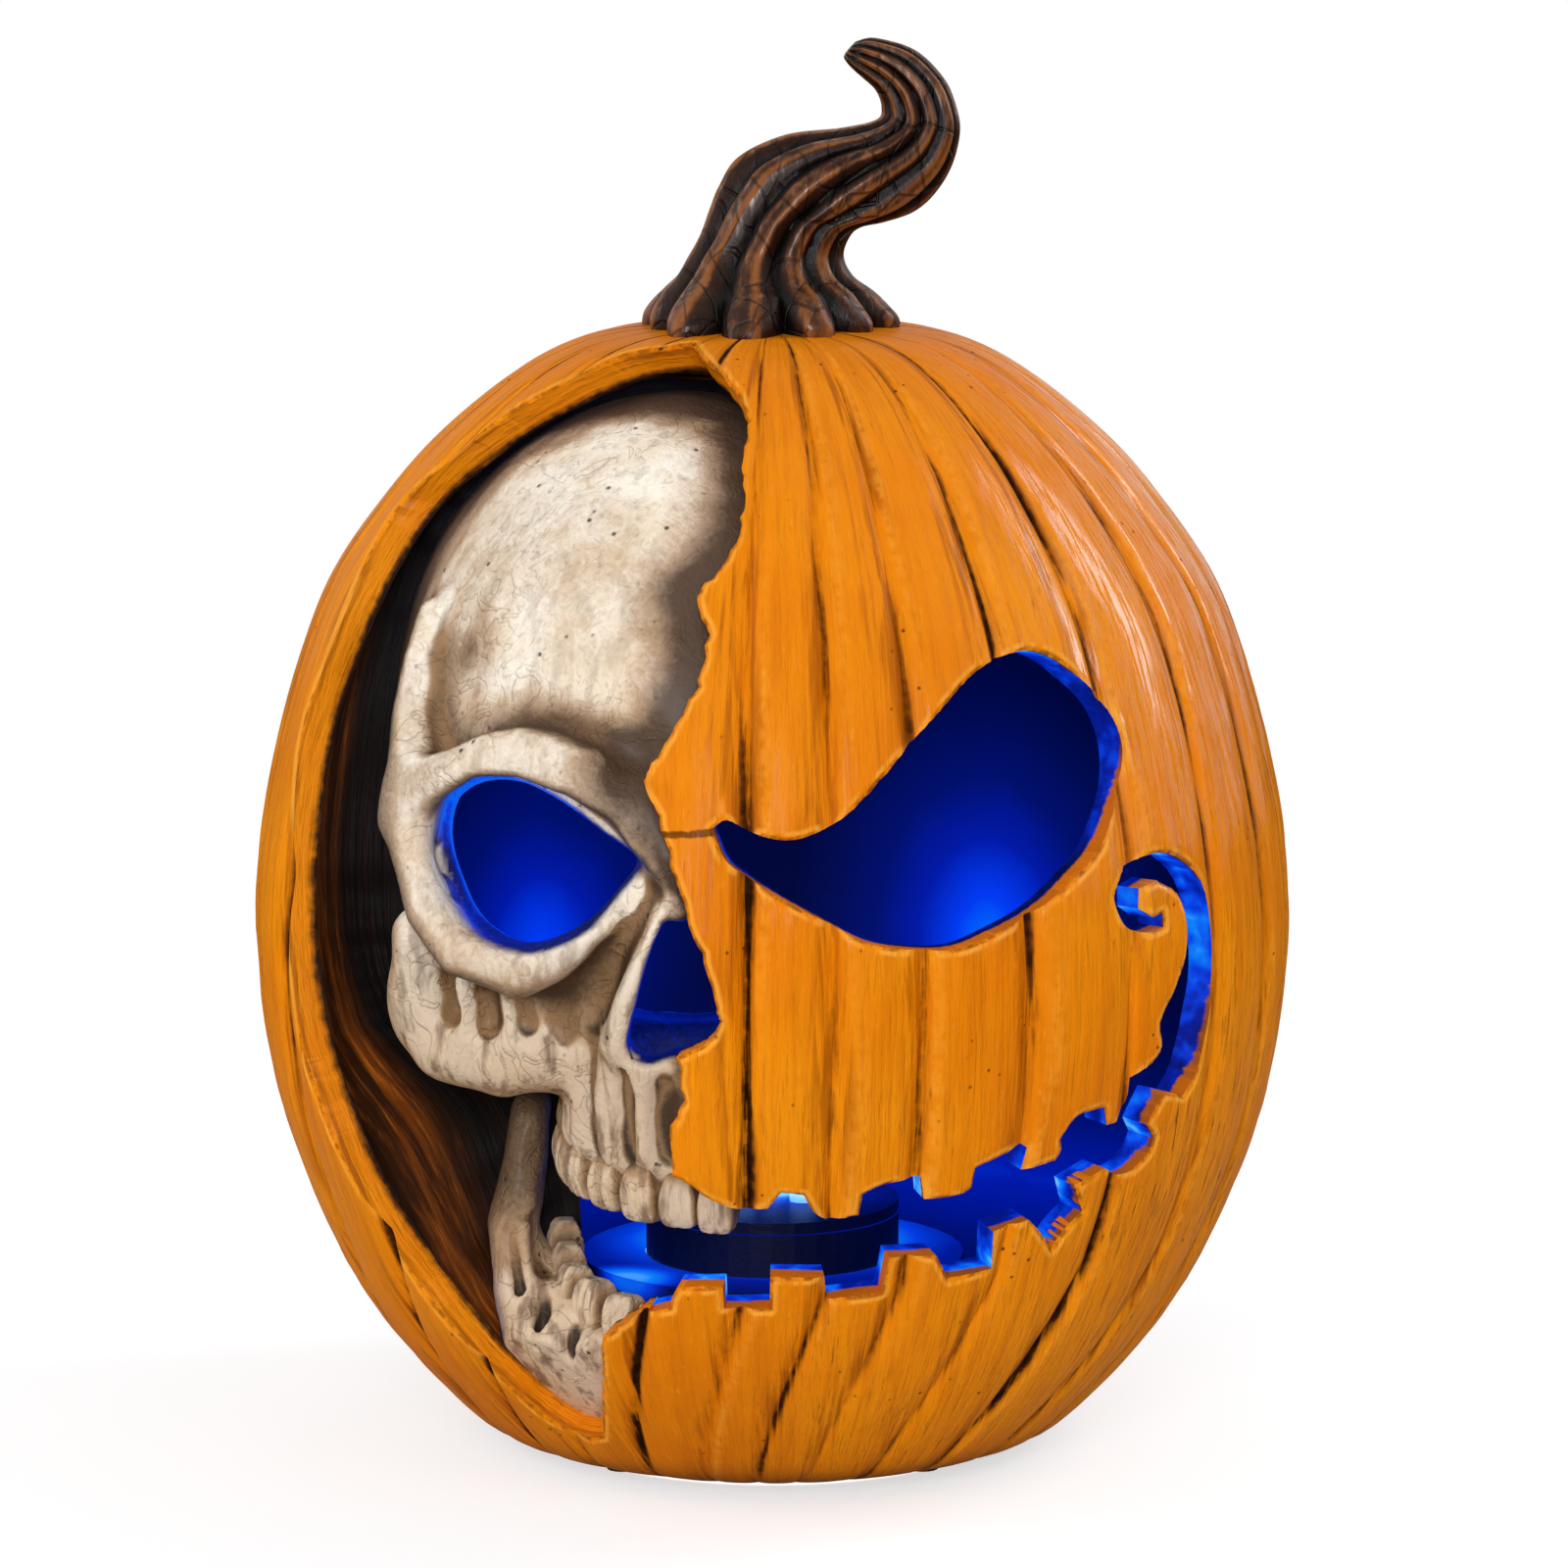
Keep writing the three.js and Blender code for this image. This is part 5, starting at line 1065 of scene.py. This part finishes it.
def skull_shade(piece):
    """How thick the painted shade lies: beside the broken edge and the rim, in hollows, and on what turns away."""
    at, facing = points_of(piece), normals_of(piece)
    from_edge = nearest(at, on_surface(niche_edge, 0.955))
    from_rim = nearest(at, on_surface(left_line, 0.9))
    edge_gap = across_at(niche_edge, (at[:, 2] - pad) / H) * R - at[:, 0]  # as seen from the front
    beside_edge = np.clip(1.05 - from_edge / 0.019, 0, 1)
    beside_edge += 0.8 * np.clip(1 - edge_gap / np.where(at[:, 2] > 0.165, 0.011, 0.0035), 0, 1)
    beside_rim = np.clip(0.9 - from_rim / 0.019, 0, 0.6)
    to_left = np.clip(-facing[:, 0] * 1.5 - 0.9, 0, 0.8)
    to_back = 0.8 * np.clip((facing[:, 1] + 0.36) / 0.5, 0, 1) * np.clip((at[:, 2] - 0.16) / 0.02, 0, 1)
    to_top = np.clip(facing[:, 2] * 1.6 - 1.25, 0, 0.4)
    downwards = 0.6 * np.clip((-facing[:, 2] - 0.2) / 0.6, 0, 1)
    at_casting = 0.5 * np.clip(1 + inner_space(at, 0) / 0.006, 0, 1)
    in_hollows = np.clip(hollows_of(piece, 140) / 0.0018, -0.12, 0.66)
    return beside_edge + beside_rim + to_left + to_back + to_top + downwards + at_casting + in_hollows


skull_bone = skinned("skull_bone", mask_field, (-0.09, -0.108, 0.068), (0.006, -0.012, 0.247), 0.00115)
store(skull_bone, "hollow", hollows_of(skull_bone))
store(skull_bone, "shade", skull_shade(skull_bone))
store(skull_bone, "lit", np.clip((-skull_skin(points_of(skull_bone)) - 0.0005) / 0.0006, 0, 1))
bone = bone_paint()
skull_bone.data.materials.append(bone)
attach(skull_bone, "lantern")
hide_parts("skull")


# Teeth are modelled once: a worn crown with a narrower neck and faint upright grooves
upper_spots = [
    (-0.378, -0.475, 0.304), (-0.369, -0.543, 0.302), (-0.343, -0.613, 0.299), (-0.296, -0.68, 0.295),
    (-0.236, -0.735, 0.291), (-0.168, -0.768, 0.288), (-0.1, -0.785, 0.286)]
lower_spots = [
    (-0.394, -0.373, 0.206), (-0.386, -0.441, 0.191), (-0.37, -0.508, 0.179), (-0.331, -0.57, 0.173),
    (-0.275, -0.619, 0.165), (-0.216, -0.653, 0.161), (-0.15, -0.681, 0.159)]


def tooth_pattern():
    clear_selection()
    bpy.ops.mesh.primitive_cube_add(size=1, location=(0, 0, 0))
    tooth = bpy.context.object
    edit(tooth, (bpy.ops.mesh.subdivide, {"number_cuts": 3}))
    p = points_of(tooth)
    up = p[:, 2] + 0.5
    levels = [0, 0.25, 0.5, 0.75, 1]
    p[:, 0] *= np.interp(up, levels, [0.78, 1.02, 1.04, 0.86, 0.66])
    p[:, 1] *= np.interp(up, levels, [0.6, 1.0, 1.15, 1.02, 0.8])
    place_points(tooth, p)
    round_off = tooth.modifiers.new("round", "SUBSURF")
    round_off.levels = round_off.render_levels = 2
    bpy.ops.object.modifier_apply(modifier=round_off.name)
    p = points_of(tooth)
    p[:, :2] *= 1.12
    p[:, 1] += 0.035 * np.cos(p[:, 0] * 21) * (p[:, 1] < 0)
    place_points(tooth, p)
    return tooth


pattern = tooth_pattern()


def row_of_teeth(name, spots, upper, node):
    """Teeth along a line of spots, each a little uneven, with their crowns down in the upper row and up in the
    lower one, joined as one piece."""
    spots = share_points(spots)
    tooth_depth, high, way = 0.0066, 0.0126 if upper else 0.0128, 1 if upper else -1
    made = []
    for i, spot in enumerate(spots):
        along = spots[min(i + 1, len(spots) - 1)] - spots[max(i - 1, 0)]
        width = 0.9 * np.linalg.norm(along[:2]) / (2 if 0 < i < len(spots) - 1 else 1)
        turn = math.atan2(along[1], along[0])
        tooth = pattern.copy()
        tooth.data = pattern.data.copy()
        bpy.context.collection.objects.link(tooth)
        uneven = np.random.default_rng(40 + i + 20 * upper)
        p = points_of(tooth) * (width, tooth_depth, way * high * uneven.uniform(0.96, 1.03))
        side, root = np.abs(p[:, 0]) / width * 2, p[:, 2] / high * way
        store(tooth, "shade", np.clip((side - 0.72) / 0.5, 0, 1) + np.clip((root - 0.12) / 0.38, 0, 1) * 0.9)
        lean = uneven.uniform(-0.05, 0.05)
        p[:, 0] += p[:, 2] * lean
        x = p[:, 0] * math.cos(turn) - p[:, 1] * math.sin(turn)
        y = p[:, 0] * math.sin(turn) + p[:, 1] * math.cos(turn)
        place_points(tooth, np.stack([x, y, p[:, 2]], 1) + spot)
        made.append(tooth)
    clear_selection()
    for tooth in made:
        tooth.select_set(True)
    bpy.context.view_layer.objects.active = made[0]
    bpy.ops.object.join()
    row = bpy.context.object
    row.name = name
    edit(row, outwards)
    bpy.ops.object.shade_smooth()
    store(row, "hollow", hollows_of(row, 6) * 0.6)
    store(row, "lit", np.zeros(len(row.data.vertices)))
    row.data.materials.append(bone)
    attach(row, "lantern")
    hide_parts(node)


row_of_teeth("upper_teeth", upper_spots, True, "skull")


# ---------------------------------------------------------------- jaw
# The lower jaw is its own casting: an upright branch, a body with tooth roots and
# a rough chin, glued inside the front wall so that its tip closes the broken side.
branch = np.array([  # middle and half sizes across and deep, at each height, as shares
    (-0.338, -0.455, 0.055, 0.027, 0.045), (-0.364, -0.449, 0.074, 0.047, 0.051),
    (-0.415, -0.466, 0.117, 0.062, 0.068), (-0.466, -0.449, 0.175, 0.06, 0.08), (-0.492, -0.407, 0.23, 0.05, 0.085),
    (-0.468, -0.373, 0.288, 0.041, 0.076), (-0.455, -0.339, 0.345, 0.036, 0.068)])
jaw_bars = [([(-0.44, -0.4, 0.186), (-0.405, -0.51, 0.152), (-0.331, -0.575, 0.14), (-0.24, -0.63, 0.131),
              (-0.12, -0.675, 0.127)], .0052),
            ([(-0.46, -0.42, 0.16), (-0.415, -0.52, 0.13), (-0.345, -0.585, 0.118), (-0.25, -0.64, 0.112),
              (-0.13, -0.685, 0.11)], .0062),
            ([(-0.43, -0.47, 0.12), (-0.385, -0.52, 0.095), (-0.35, -0.53, 0.07)], .007)]
jaw_roots = [([(-0.4, -0.545, 0.15), (-0.405, -0.54, 0.11)], .0024),
             ([(-0.34, -0.605, 0.14), (-0.36, -0.585, 0.1)], .0026),
             ([(-0.285, -0.645, 0.132), (-0.3, -0.635, 0.105)], .0026),
             ([(-0.47, -0.475, 0.25), (-0.48, -0.5, 0.18), (-0.45, -0.52, 0.12)], .0026)]
jaw_gouges = [([(-0.372, -0.6, 0.163), (-0.385, -0.6, 0.12)], .0013),
              ([(-0.312, -0.655, 0.155), (-0.33, -0.645, 0.115)], .0013),
              ([(-0.425, -0.545, 0.2), (-0.435, -0.55, 0.14)], .0016),
              ([(-0.47, -0.455, 0.33), (-0.5, -0.5, 0.24), (-0.475, -0.51, 0.18)], .0012),
              ([(-0.445, -0.44, 0.31), (-0.47, -0.49, 0.25)], .0011),
              ([(-0.44, -0.47, 0.24), (-0.43, -0.5, 0.2)], .0016),
              ([(-0.4, -0.555, 0.1), (-0.375, -0.56, 0.075)], .0018)]


def jaw_field(p):
    z = (p[..., 2] - pad) / H
    x, y, a, b = (np.interp(z, branch[:, 2], branch[:, i]) * R for i in (0, 1, 3, 4))
    f = (np.hypot((p[..., 0] - x) / a, (p[..., 1] - y) / b) - 1) * np.minimum(a, b)
    f = -blend(-f, (z - 0.342) * -H, 0.004)
    f = np.maximum(f, (0.057 - z) * H)
    f = blend(f, mass_field(p, -0.35, -0.5, 0.125, 0.13, 0.085, 0.062), 0.008)
    f = with_lines(f, p, (blend, jaw_bars, 0.006), (blend, jaw_roots, 0.004), (carve, jaw_gouges, 0.003))
    f = f + 0.00035 * waves(p, 160, 11) + 0.00022 * waves(p, 520, 12)
    return np.maximum(f, inner_space(p, glue_gap))


jaw_bone = skinned("jaw_bone", jaw_field, (-0.068, -0.092, 0.012), (-0.008, -0.028, 0.094), 0.001)
store(jaw_bone, "hollow", hollows_of(jaw_bone))
at = points_of(jaw_bone)
store(jaw_bone, "shade", np.clip((at[:, 2] - 0.04) / 0.03, 0, 1) * 0.95
      + np.clip(1 - nearest(at, on_surface(niche_edge, 0.955)) / 0.007, 0, 1) * 0.8)
to_lamp = normals_of(jaw_bone) @ (0.5, 0.85, 0.1)
store(jaw_bone, "lit", np.clip((to_lamp - 0.5) / 0.4, 0, 1) * (at[:, 2] < 0.06) * 0.3)
jaw_bone.data.materials.append(bone)
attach(jaw_bone, "lantern")
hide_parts("jaw")
row_of_teeth("lower_teeth", lower_spots, False, "jaw")
bpy.data.objects.remove(pattern)


# ---------------------------------------------------------------- stem
# A solid casting of twisted strands, pegged and glued into the crown, painted
# near-black brown, dry-brushed copper on its ridges and varnished to a high gloss;
# the near-black between the strands is also painted shade, the copper also a painted highlight.
stem_rows = np.array([  # left and right ends across and up, and half depth, as shares of the foot and the height
    (-0.93, -0.08, 0.84, -0.08, 0.85), (-1.02, -0.03, 0.92, -0.03, 0.92), (-1.03, 0.02, 0.935, 0.02, 0.933),
    (-0.97, 0.065, 0.86, 0.065, 0.87), (-0.87, 0.11, 0.76, 0.11, 0.77), (-0.752, 0.16, 0.605, 0.16, 0.617),
    (-0.656, 0.223, 0.538, 0.223, 0.533), (-0.56, 0.293, 0.589, 0.286, 0.5), (-0.486, 0.375, 0.678, 0.315, 0.483),
    (-0.412, 0.451, 0.862, 0.331, 0.467), (-0.265, 0.545, 1.083, 0.362, 0.45), (0.088, 0.615, 1.244, 0.419, 0.417),
    (0.515, 0.637, 1.368, 0.508, 0.367), (0.772, 0.662, 1.426, 0.618, 0.317), (0.808, 0.703, 1.396, 0.703, 0.283),
    (0.764, 0.753, 1.3, 0.794, 0.25), (0.676, 0.788, 1.079, 0.885, 0.207), (0.587, 0.823, 0.785, 0.923, 0.147),
    (0.536, 0.854, 0.646, 0.914, 0.087), (0.545, 0.872, 0.6, 0.9, 0.03)])
foot_radius, stem_height, strands = 0.03, 0.07, 11


def stem_rings():
    rows = smooth_line(stem_rows, 9)
    count = 16 * strands
    angle = np.arange(count) / count * 2 * np.pi
    rings, ridges = [], []
    for level, (lx, lz, rx, rz, deep) in enumerate(rows):
        along = level / (len(rows) - 1)
        left, right = (np.array([x * foot_radius, 0, H + pad + z * stem_height]) for x, z in ((lx, lz), (rx, rz)))
        twist = angle * strands / 2 + 0.9 * along + 0.35 * np.sin(5 * along + 2 * angle)
        lobe = np.abs(np.cos(twist)) ** 0.75
        second = 0.5 + 0.5 * np.cos(2 * twist * 3 + 1.3)
        foot = np.clip(1 - along / 0.22, 0, 1)
        cut = (0.17 + 0.17 * foot) * (1 - 0.55 * np.clip((along - 0.9) / 0.1, 0, 1))
        uneven = 0.05 * foot * np.sin(angle * 3 + 1) + 0.02 * np.sin(angle * 5 + 7 * along)
        reach = (1 - cut * (1 - lobe) - 0.012 * second + uneven * (0.4 + lobe)) * 0.98
        middle, half = (left + right) / 2, (right - left) / 2
        ring = middle + half * (reach * np.cos(angle))[:, None]
        ring[:, 1] += deep * foot_radius * reach * np.sin(angle)
        rings.append(ring)
        ridges.append(lobe - 0.25 * second)
    return rings, ridges


rings, ridges = stem_rings()
stem_curl = ring_tube("stem_curl", rings)
store(stem_curl, "ridge", np.concatenate(ridges)[order_of(stem_curl)])
smooth_by_angle(stem_curl, 60)


def stem_paint():
    """Near-black brown with copper dry-brushed on the ridges, fine cracks, and varnish that is thickest there.
    The near-black in the recesses is partly painted shade, the copper on the ridges partly a painted highlight.
    """
    paint = Paint("stem_paint")
    place = paint.place()
    x, y, z = paint.xyz(place)
    ridge = paint.attribute("ridge")
    grain = paint.noise(paint.vector(x, y, z * 0.25), 500, 4, 0.65)
    cloud = paint.noise(place, 75, 3, 0.6)
    cracks = paint.node("ShaderNodeTexVoronoi", {"feature": "DISTANCE_TO_EDGE"},
                        {"Vector": paint.vector(x, y, z * 0.6), "Scale": 150.0, "Randomness": 1.0})[0]
    # partly painted shade between the strands and a painted highlight on their ridges
    brushed = ridge + (grain - 0.5) * 0.5
    base = paint.mix(brushed.over(0.1, 0.75), srgb(5, 3, 2), srgb(46, 21, 8))
    base = paint.mix((brushed + (cloud - 0.5) * 0.7).over(0.66, 1.02) * 0.85, base, srgb(142, 84, 38))
    split = 1 - cracks.over(0.01, 0.05)
    base = paint.mix(split * 0.55, base, srgb(10, 5, 3))
    paint.set(Base_Color=base, Roughness=(0.3 + 0.2 * grain).clip(), Specular_IOR_Level=0.12,
              Coat_Weight=((0.1 + 0.5 * grain.over(0.5, 0.7)) * ridge.over(0.35, 0.8)).clip(), Coat_Roughness=0.1,
              Normal=paint.bump(grain * 0.6 + cloud * 0.4 - split * 0.5, 0.0013, 0.6))
    return paint.material


stem_curl.data.materials.append(stem_paint())
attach(stem_curl, "lantern")
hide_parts("stem")


# ---------------------------------------------------------------- niche liner
# A thin curved casting behind the broken side: it runs from the back of the rim to
# the skull's edge and hides the lamp, painted burnt brown with rust coloured streaks.
liner_rim = [
    (-0.03, 0.99), (-0.12, 0.995), (-0.32, 0.985), (-0.49, 0.955), (-0.66, 0.905), (-0.77, 0.85), (-0.87, 0.745),
    (-0.93, 0.64), (-0.96, 0.54), (-0.95, 0.46), (-0.92, 0.38), (-0.86, 0.32), (-0.79, 0.26),
    (-0.7, 0.195), (-0.59, 0.13), (-0.47, 0.07), (-0.37, 0.03)]
liner_back = [
    (-0.03, -0.1, 0.93), (-0.12, -0.1, 0.93), (-0.25, -0.1, 0.925), (-0.38, -0.1, 0.905), (-0.52, -0.1, 0.86),
    (-0.61, -0.1, 0.8), (-0.66, -0.1, 0.71), (-0.68, -0.1, 0.62), (-0.69, -0.1, 0.53), (-0.68, -0.1, 0.45),
    (-0.62, -0.12, 0.4),
    (-0.5, -0.14, 0.375), (-0.402, -0.2, 0.345), (-0.374, -0.26, 0.28), (-0.364, -0.28, 0.2), (-0.35, -0.32, 0.13),
    (-0.33, -0.37, 0.03)]


steps_inward, sheet_thickness = 18, 0.0023


def liner_rings():
    """Rings round the liner's thin section, one for each step along its rim, kept off the casting's inside."""
    rims = on_surface(smooth_line(liner_rim, 8), 0.985)
    backs = share_points(smooth_line(liner_back, 8))
    rings = []
    for i, (rim, back) in enumerate(zip(rims, backs)):
        t = np.linspace(0, 1, steps_inward)[:, None]
        front = rim + (back - rim) * t
        front[:, 1] += 0.225 * (back[1] - rim[1]) * np.sin(np.pi * t[:, 0])
        front[:, 1] += 0.0012 * np.sin(i * 0.9 + 3 * np.sin(i * 0.17)) * np.sin(np.pi * t[:, 0])
        along = np.gradient(front, axis=0)
        along /= np.maximum(np.linalg.norm(along, axis=1), 1e-9)[:, None]
        away = np.array([0, 1, 0]) - along * along[:, 1:2]
        away /= np.maximum(np.linalg.norm(away, axis=1), 1e-9)[:, None]
        ring = np.vstack([front, (front + away * sheet_thickness)[::-1]])
        from_axis = np.hypot(ring[:, 0], ring[:, 1])
        room = surface_radius(np.clip(ring[:, 2] - pad, 0, H)) - wall - 0.0004
        ring[:, :2] *= np.minimum(1, room / np.maximum(from_axis, 1e-6))[:, None]
        ring[:, 2] = np.clip(ring[:, 2], 0.0105, H + pad - wall - 0.0006)
        rings.append(ring)
    return rings


niche_wall = ring_tube("niche_wall", liner_rings())
round_section = order_of(niche_wall) % (2 * steps_inward)
inward = np.minimum(round_section, 2 * steps_inward - 1 - round_section) / (steps_inward - 1)
store(niche_wall, "inward", inward)
smooth_by_angle(niche_wall, 50)


def niche_paint():
    """Burnt black brown, with a band of rust coloured streaks beside the rim in the lower half. The band leaves a
    dark strip in the corner at the rim as painted shade, and fades out at the top as the painted shadow of the rim
    above it.
    """
    paint = Paint("niche_paint")
    place = paint.place()
    x, _, z = paint.xyz(place)
    inward = paint.attribute("inward")
    streak = paint.noise(paint.vector(inward * 0.07, z * 0.09, x * 0.09), 160, 5, 0.7, 0.3)
    fine = paint.noise(paint.vector(inward * 0.06, z * 0.1, x * 0.1), 520, 4, 0.65)
    # the band starts a little in from the rim: the dark strip left in that corner is painted shade
    band = inward.over(0.06, 0.2) * (1 - (inward + (streak - 0.5) * 0.2).over(0.34, 0.52))
    # painted shadow: the band fades out at the top, under the rim's overhang
    band = band * (1 - z.over(0.17, 0.21))
    base = paint.mix(streak.over(0.42, 0.68), srgb(10, 5, 3), srgb(58, 30, 14))
    base = paint.mix(band * (0.16 + 0.8 * streak.over(0.42, 0.62)), base, srgb(122, 62, 14))
    base = paint.mix(band * (streak * 0.6 + fine * 0.5).over(0.58, 0.74), base, srgb(196, 106, 24))
    # near-black deeper in, towards the skull
    deep_dark = (inward + (streak - 0.5) * 0.12).over(0.36, 0.54)
    base = paint.mix(deep_dark * 0.8, base, srgb(10, 6, 4))
    paint.set(Base_Color=base, Roughness=(0.5 + 0.25 * fine).clip(), Specular_IOR_Level=0.15,
              Normal=paint.bump(streak + fine * 0.4, 0.0014, 0.6))
    return paint.material


niche_wall.data.materials.append(niche_paint())
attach(niche_wall, "lantern")
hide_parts("niche_liner")


# ---------------------------------------------------------------- battery light
# A drum of black plastic screwed up into the well from below. It carries a green board
# with three blue lamps under a lid, and under them three AAA cells behind a hinged door.
def moulded(name, dark, light, rough=0.5, lit=0.0, grain=900):
    """Moulded plastic with a sparked grain and faint flow marks; lit says how strongly the lamp's light is painted
    on it as a glow.
    """
    paint = Paint(name)
    place = paint.place()
    spark = paint.noise(place, grain, 2, 0.5)
    flow = paint.noise(place, 45, 3, 0.6, 0.6)
    base = paint.mix((spark * 0.5 + flow * 0.6).over(0.35, 0.75), dark, light)
    paint.set(Base_Color=base, Roughness=(rough + 0.2 * (flow - 0.5) + 0.1 * spark).clip(),
              Normal=paint.bump(spark + 0.4 * flow, 0.0002, 0.5))
    if lit:
        x, y, z = paint.xyz(place)
        # a painted pool of the lamp's light on the well's floor beside the jaw
        beside_jaw = (1 - distance_from((-0.034, -0.03, 0.045), x, y, z).over(0.004, 0.017)) * 0.6
        glow = lamp_colour(paint, (lamp_on(paint, place, 0.05) * lit + beside_jaw + (flow - 0.5) * 0.1).clip())
        paint.set(Emission_Color=paint.mix(z.over(0.036, 0.042), (0.0, 0.0, 0.0), glow), Emission_Strength=1.0,
                  Specular_IOR_Level=0.15)
    return paint.material


def give(material, *nodes):
    for node in nodes:
        bpy.data.objects[node].data.materials[0] = material


give(moulded("well_plastic", srgb(5, 6, 14), srgb(10, 11, 22), 0.55, 0.62), "light_well")
give(moulded("housing_plastic", srgb(5, 6, 14), srgb(10, 12, 24), 0.46, 0.6), "light_housing")
give(moulded("lid_plastic", srgb(5, 6, 16), srgb(10, 12, 26), 0.4, 0.34), "light_lid")
give(moulded("door_plastic", srgb(17, 17, 19), srgb(31, 31, 34), 0.48), "battery_door")
give(moulded("switch_plastic", srgb(14, 14, 15), srgb(24, 24, 26), 0.4), "switch_body")
give(moulded("knob_plastic", srgb(176, 178, 180), srgb(206, 207, 208), 0.38), "switch_knob")
give(moulded("pad_rubber", srgb(22, 22, 22), srgb(44, 43, 42), 0.85, 0.0, 2400),
     "foot_pad_1", "foot_pad_2", "foot_pad_3", "foot_pad_4")
give(moulded("lead_red", srgb(150, 14, 12), srgb(184, 26, 20), 0.35), "lead_red")
give(moulded("lead_black", srgb(12, 12, 13), srgb(24, 24, 25), 0.35), "lead_black")


def board():
    """Green lacquer over copper tracks, with the fibre of the board showing faintly."""
    paint = Paint("board_green")
    place = paint.place()
    x, y, z = paint.xyz(place)
    tracks = paint.node("ShaderNodeTexBrick", {"offset": 0.5}, {
        "Vector": place, "Scale": 150.0, "Mortar Size": 0.035, "Color1": (0, 0, 0, 1), "Color2": (0, 0, 0, 1),
        "Mortar": (1, 1, 1, 1)})[0]
    fibre = paint.noise(paint.vector(x * 4, y, z), 700, 2)
    base = paint.mix(fibre.over(0.3, 0.7), srgb(10, 66, 34), srgb(18, 88, 46))
    base = paint.mix(tracks, base, srgb(46, 122, 62))
    paint.set(Base_Color=base, Roughness=(0.26 + 0.2 * fibre).clip(), Normal=paint.bump(tracks, 0.00008, 0.6))
    return paint.material


def lens():
    """Clear epoxy with the chip glowing in it, whitest at the top of its dome."""
    paint = Paint("led_lens")
    z = paint.xyz(paint.place())[2]
    swirl = paint.noise(paint.place(), 500, 2)
    glow = paint.mix((z.over(0.054, 0.0602) + (swirl - 0.5) * 0.2).clip(), srgb(20, 96, 235), srgb(160, 222, 255))
    paint.set(Base_Color=srgb(150, 190, 230) + (1,), Roughness=(0.08 + 0.08 * swirl).clip(), Emission_Color=glow,
              Emission_Strength=1.7)
    return paint.material


def cell():
    """A plain sleeve printed in graphite and copper, rubbed a little along the cell; the middle cell lies the
    other way round."""
    paint = Paint("cell_wrap")
    place = paint.place()
    x, y, z = paint.xyz(place)
    rub = paint.noise(paint.vector(x * 0.2, y, z), 900, 3, 0.6)
    turned = 1 - 2 * y.maths("ABSOLUTE").maths("LESS_THAN", 0.0055)
    band = (x * turned + 0.002).over(0.0088, 0.0092)
    base = paint.mix(band, srgb(28, 29, 32), srgb(196, 112, 52))
    base = paint.mix(rub.over(0.55, 0.8) * 0.35, base, srgb(120, 116, 110))
    ends = x.maths("ABSOLUTE").over(0.0206, 0.0214)
    base = paint.mix(ends, base, srgb(190, 188, 184))
    paint.set(Base_Color=base, Roughness=(0.28 + 0.22 * rub).clip(), Metallic=(0.25 + 0.6 * ends).clip(),
              Normal=paint.bump(rub, 0.00005, 0.4))
    return paint.material


def metal(name, dark, light, rough, stretch):
    """Plated steel, drawn or turned: fine marks run along one way."""
    paint = Paint(name)
    place = paint.place()
    x, y, z = paint.xyz(place)
    marks = paint.noise(paint.vector(x, y * stretch, z * stretch), 1500, 3, 0.6)
    cloud = paint.noise(place, 120, 2)
    paint.set(Base_Color=paint.mix(marks.over(0.3, 0.7), dark, light), Metallic=1.0,
              Roughness=(rough + 0.22 * cloud).clip(), Normal=paint.bump(marks, 0.00006, 0.5))
    return paint.material


give(board(), "led_board")
give(lens(), "led_1", "led_2", "led_3")
give(cell(), "battery_1", "battery_2", "battery_3")
give(metal("spring_steel", srgb(168, 166, 160), srgb(206, 204, 198), 0.24, 1),
     "battery_spring_1", "battery_spring_2", "battery_spring_3",
     "contact_plate_1", "contact_plate_2", "contact_plate_3")
give(metal("screw_steel", srgb(150, 152, 156), srgb(196, 198, 202), 0.2, 3),
     "door_screw", "mounting_screw_1", "mounting_screw_2", "mounting_screw_3")
